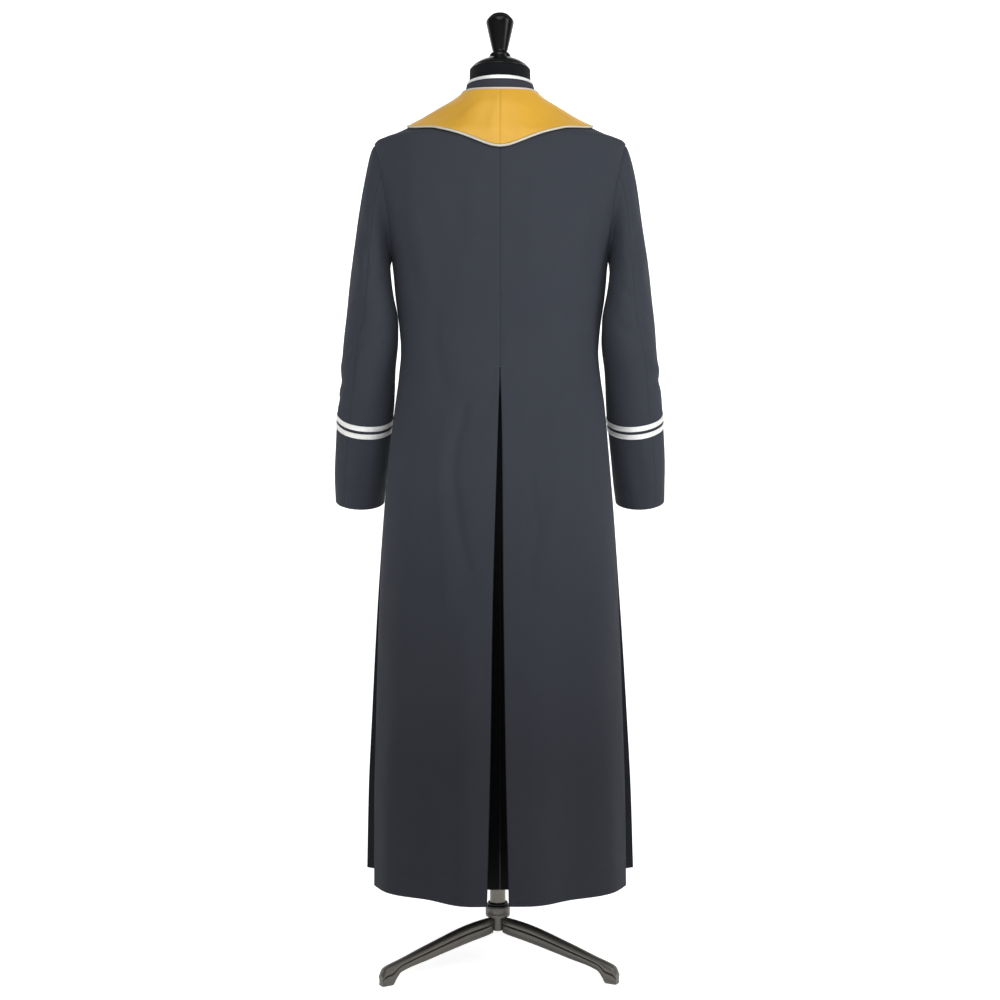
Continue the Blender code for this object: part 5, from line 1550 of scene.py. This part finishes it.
button_heights = BUTTON_TOP_Z - BUTTON_PITCH * np.arange(BUTTON_COUNT)
for index, z in enumerate(button_heights):
    turned_button("button_{:02d}".format(index + 1), z)
point, facing, up = on_front(np.repeat(button_heights, 2))
cross = np.tile([math.pi / 4, -math.pi / 4], BUTTON_COUNT)
laid_threads("button_threads", point + facing * (BUTTON_LIFT + 0.0020), np.broadcast_to(RIGHT, point.shape),
             facing, cross, BUTTON_THREAD, GREY_THREAD)
purl_x = np.arange(BUTTONHOLE_END, BUTTONHOLE_START, BUTTONHOLE_PITCH)
spots = [(z, x, lift) for z in button_heights for x in purl_x for lift in (-0.0010, 0.0010)]
spots += [(z, BUTTONHOLE_END - 0.0005, lift) for z in button_heights for lift in (-0.0012, 0.0, 0.0012)]
spots = np.array(spots)
point, facing, up = on_front(spots[:, 0])
point = point + spots[:, 1:2] * RIGHT + spots[:, 2:] * up + facing * 0.0001
laid_threads("buttonhole_stitches", point, up, facing, np.zeros(len(point)), BUTTONHOLE_THREAD,
             GREY_THREAD)

# Hand and machine stitches
# The front edge is pick-stitched, the hem is felled with pricks that just show, the top of the
# centre pleat is barred, and the cape's edge is stitched beside its piping.
PICK = (0.0014, 0.00040, 0.00030)
PICK_PITCH = 0.0050
EDGE_COLUMN = 3
PRICK = (0.0008, 0.00040, 0.00026)
PRICK_PITCH = 0.0080
BAR_THREAD = (0.0030, 0.00045, 0.00036)
BAR_PITCH = 0.00070
BAR_REACH = 0.0120
CAPE_STITCH = (0.0022, 0.00036, 0.00028)
CAPE_STITCH_PITCH = 0.0030
CAPE_STITCH_IN = 0.0024


def panel_face(name, side):
    """Outer points and facings of a finished panel."""
    points = np.array([row[0] + row[1] * CLOTH / 2 for row in PANEL_ROWS[name]])
    return points * (side, 1, 1), np.array([row[1] for row in PANEL_ROWS[name]]) * (side, 1, 1)


def stitch_line(name, line, facings, pitch, size, finish, slant=0.0):
    """Stitches laid end to end along a line on the cloth."""
    places = even_places(line, pitch)
    onward = unit(picked(np.gradient(line, axis=0), places))
    laid_threads(name, picked(line, places), onward, unit(picked(facings, places)),
                 np.full(len(places), slant), size, finish)


hem_row = int(np.argmin(np.abs(PANEL_LEVELS - HEM_Z - HEM_TURN_UP)))
tack_row = int(np.argmin(np.abs(PANEL_LEVELS - TACK_Z)))
for side, word in ((1, "left"), (-1, "right")):
    for half, lead in (("back_", LEAD), ("front_", 0)):
        points, facings = panel_face(half + word, side)
        span = slice(lead + 2, points.shape[1] - TAIL - 2)
        stitch_line("hem_pricks_" + half + word, points[hem_row, span], facings[hem_row, span], PRICK_PITCH,
                    PRICK, GREY_THREAD)
        if half == "back_":
            in_reach = np.abs(points[tack_row, :, 0]) < BAR_REACH
            near = np.flatnonzero(in_reach & (np.arange(points.shape[1]) > lead))
            stitch_line("pleat_bar_" + word, points[tack_row, near], facings[tack_row, near], BAR_PITCH,
                        BAR_THREAD, GREY_THREAD, slant=1.35)
points, facings = panel_face("front_left", 1)
stitch_line("front_edge_stitches", points[2:-2, EDGE_COLUMN], facings[2:-2, EDGE_COLUMN], PICK_PITCH, PICK,
            GREY_THREAD)
for side, word in ((1, "left"), (-1, "right")):
    turn = np.linspace(1.0, 178.0 - CAPE_FRONT_CUT, 400)
    tall = cape_level(side, turn, 0.0) - cape_level(side, turn, 1.0)
    share = 1 - CAPE_STITCH_IN / tall
    line, facings = cape_face(side, turn, share, np.full(turn.shape, CAPE_LIFT + CAPE_CLOTH))
    stitch_line("cape_stitches_" + word, line * (side, 1, 1), facings * (side, 1, 1), CAPE_STITCH_PITCH,
                CAPE_STITCH, GOLD_THREAD)

# Studio
# White floor and wall that run into one another, broad soft lamps behind the camera and
# above, and the camera level with the middle of the garment, behind the wearer's back.
CAMERA_HEIGHT = 0.816
CAMERA_DISTANCE = 2.6
FOCAL_IN_PIXELS = 1477.0
PICTURE_PIXELS = 1000.0
FLOOR_HALF = 9.0
SWEEP_RADIUS = 1.2
SWEEP_Y = -3.2
SWEEP_STEPS = 16


def studio_white(name, glow):
    """Matt white sweep that also glows, as a lit studio wall does."""
    finish, tree, shader = new_finish(name, 0.9, 0.0, Specular_IOR_Level=0.1)
    mottled_colour(tree, shader, object_place(tree), (0.90, 0.90, 0.90), (0.88, 0.88, 0.88), 3.0)
    shader.inputs["Emission Color"].default_value = (1.0, 1.0, 1.0, 1.0)
    shader.inputs["Emission Strength"].default_value = glow
    return finish


bend = np.linspace(0.0, math.pi / 2, SWEEP_STEPS)
sweep = [(FLOOR_HALF, 0.0)] + [(SWEEP_Y - SWEEP_RADIUS * math.sin(a), SWEEP_RADIUS * (1 - math.cos(a)))
                               for a in bend] + [(SWEEP_Y - SWEEP_RADIUS, 6.0)]
corners = [(x, y, z) for y, z in sweep for x in (-FLOOR_HALF, FLOOR_HALF)]
strips = [(2 * i, 2 * i + 1, 2 * i + 3, 2 * i + 2) for i in range(len(sweep) - 1)]
backdrop = new_piece("studio_sweep", corners, strips, studio_white("studio_white", 0.72))

scene = bpy.context.scene
scene.world = bpy.data.worlds.new("soft_room")
scene.world.use_nodes = True
room = scene.world.node_tree.nodes["Background"]
room.inputs["Color"].default_value = (1.0, 1.0, 1.0, 1.0)
room.inputs["Strength"].default_value = 0.20
scene.view_settings.view_transform = "Standard"

# Lamps: name, place, aim, width, height, power
LAMPS = (
    ("lamp_behind_camera", (0.3, 4.4, 3.0), (0.0, 0.0, 1.1), 2.6, 1.8, 61.0),
    ("lamp_overhead", (0.0, 1.5, 3.1), (0.0, 0.0, 1.25), 2.2, 1.6, 27.0),
    ("lamp_side", (-3.2, 1.7, 2.2), (0.0, 0.0, 1.15), 1.4, 2.2, 50.0),
)
for name, place, aim, width, height, power in LAMPS:
    light = bpy.data.lights.new(name, "AREA")
    light.shape = "RECTANGLE"
    light.size = width
    light.size_y = height
    light.energy = power
    lamp = bpy.data.objects.new(name, light)
    lamp.location = place
    toward = np.array(aim) - np.array(place)
    flat = math.hypot(toward[0], toward[1])
    lamp.rotation_euler = (math.atan2(flat, -toward[2]), 0.0, math.atan2(-toward[0], toward[1]))
    scene.collection.objects.link(lamp)

lens = bpy.data.cameras.new("camera")
lens.sensor_width = 36.0
lens.lens = FOCAL_IN_PIXELS * lens.sensor_width / PICTURE_PIXELS
camera = bpy.data.objects.new("camera", lens)
camera.location = (0.0, SHIFT_Y + CAMERA_DISTANCE, CAMERA_HEIGHT)
camera.rotation_euler = (math.radians(90.0), 0.0, math.radians(180.0))
scene.collection.objects.link(camera)
scene.camera = camera
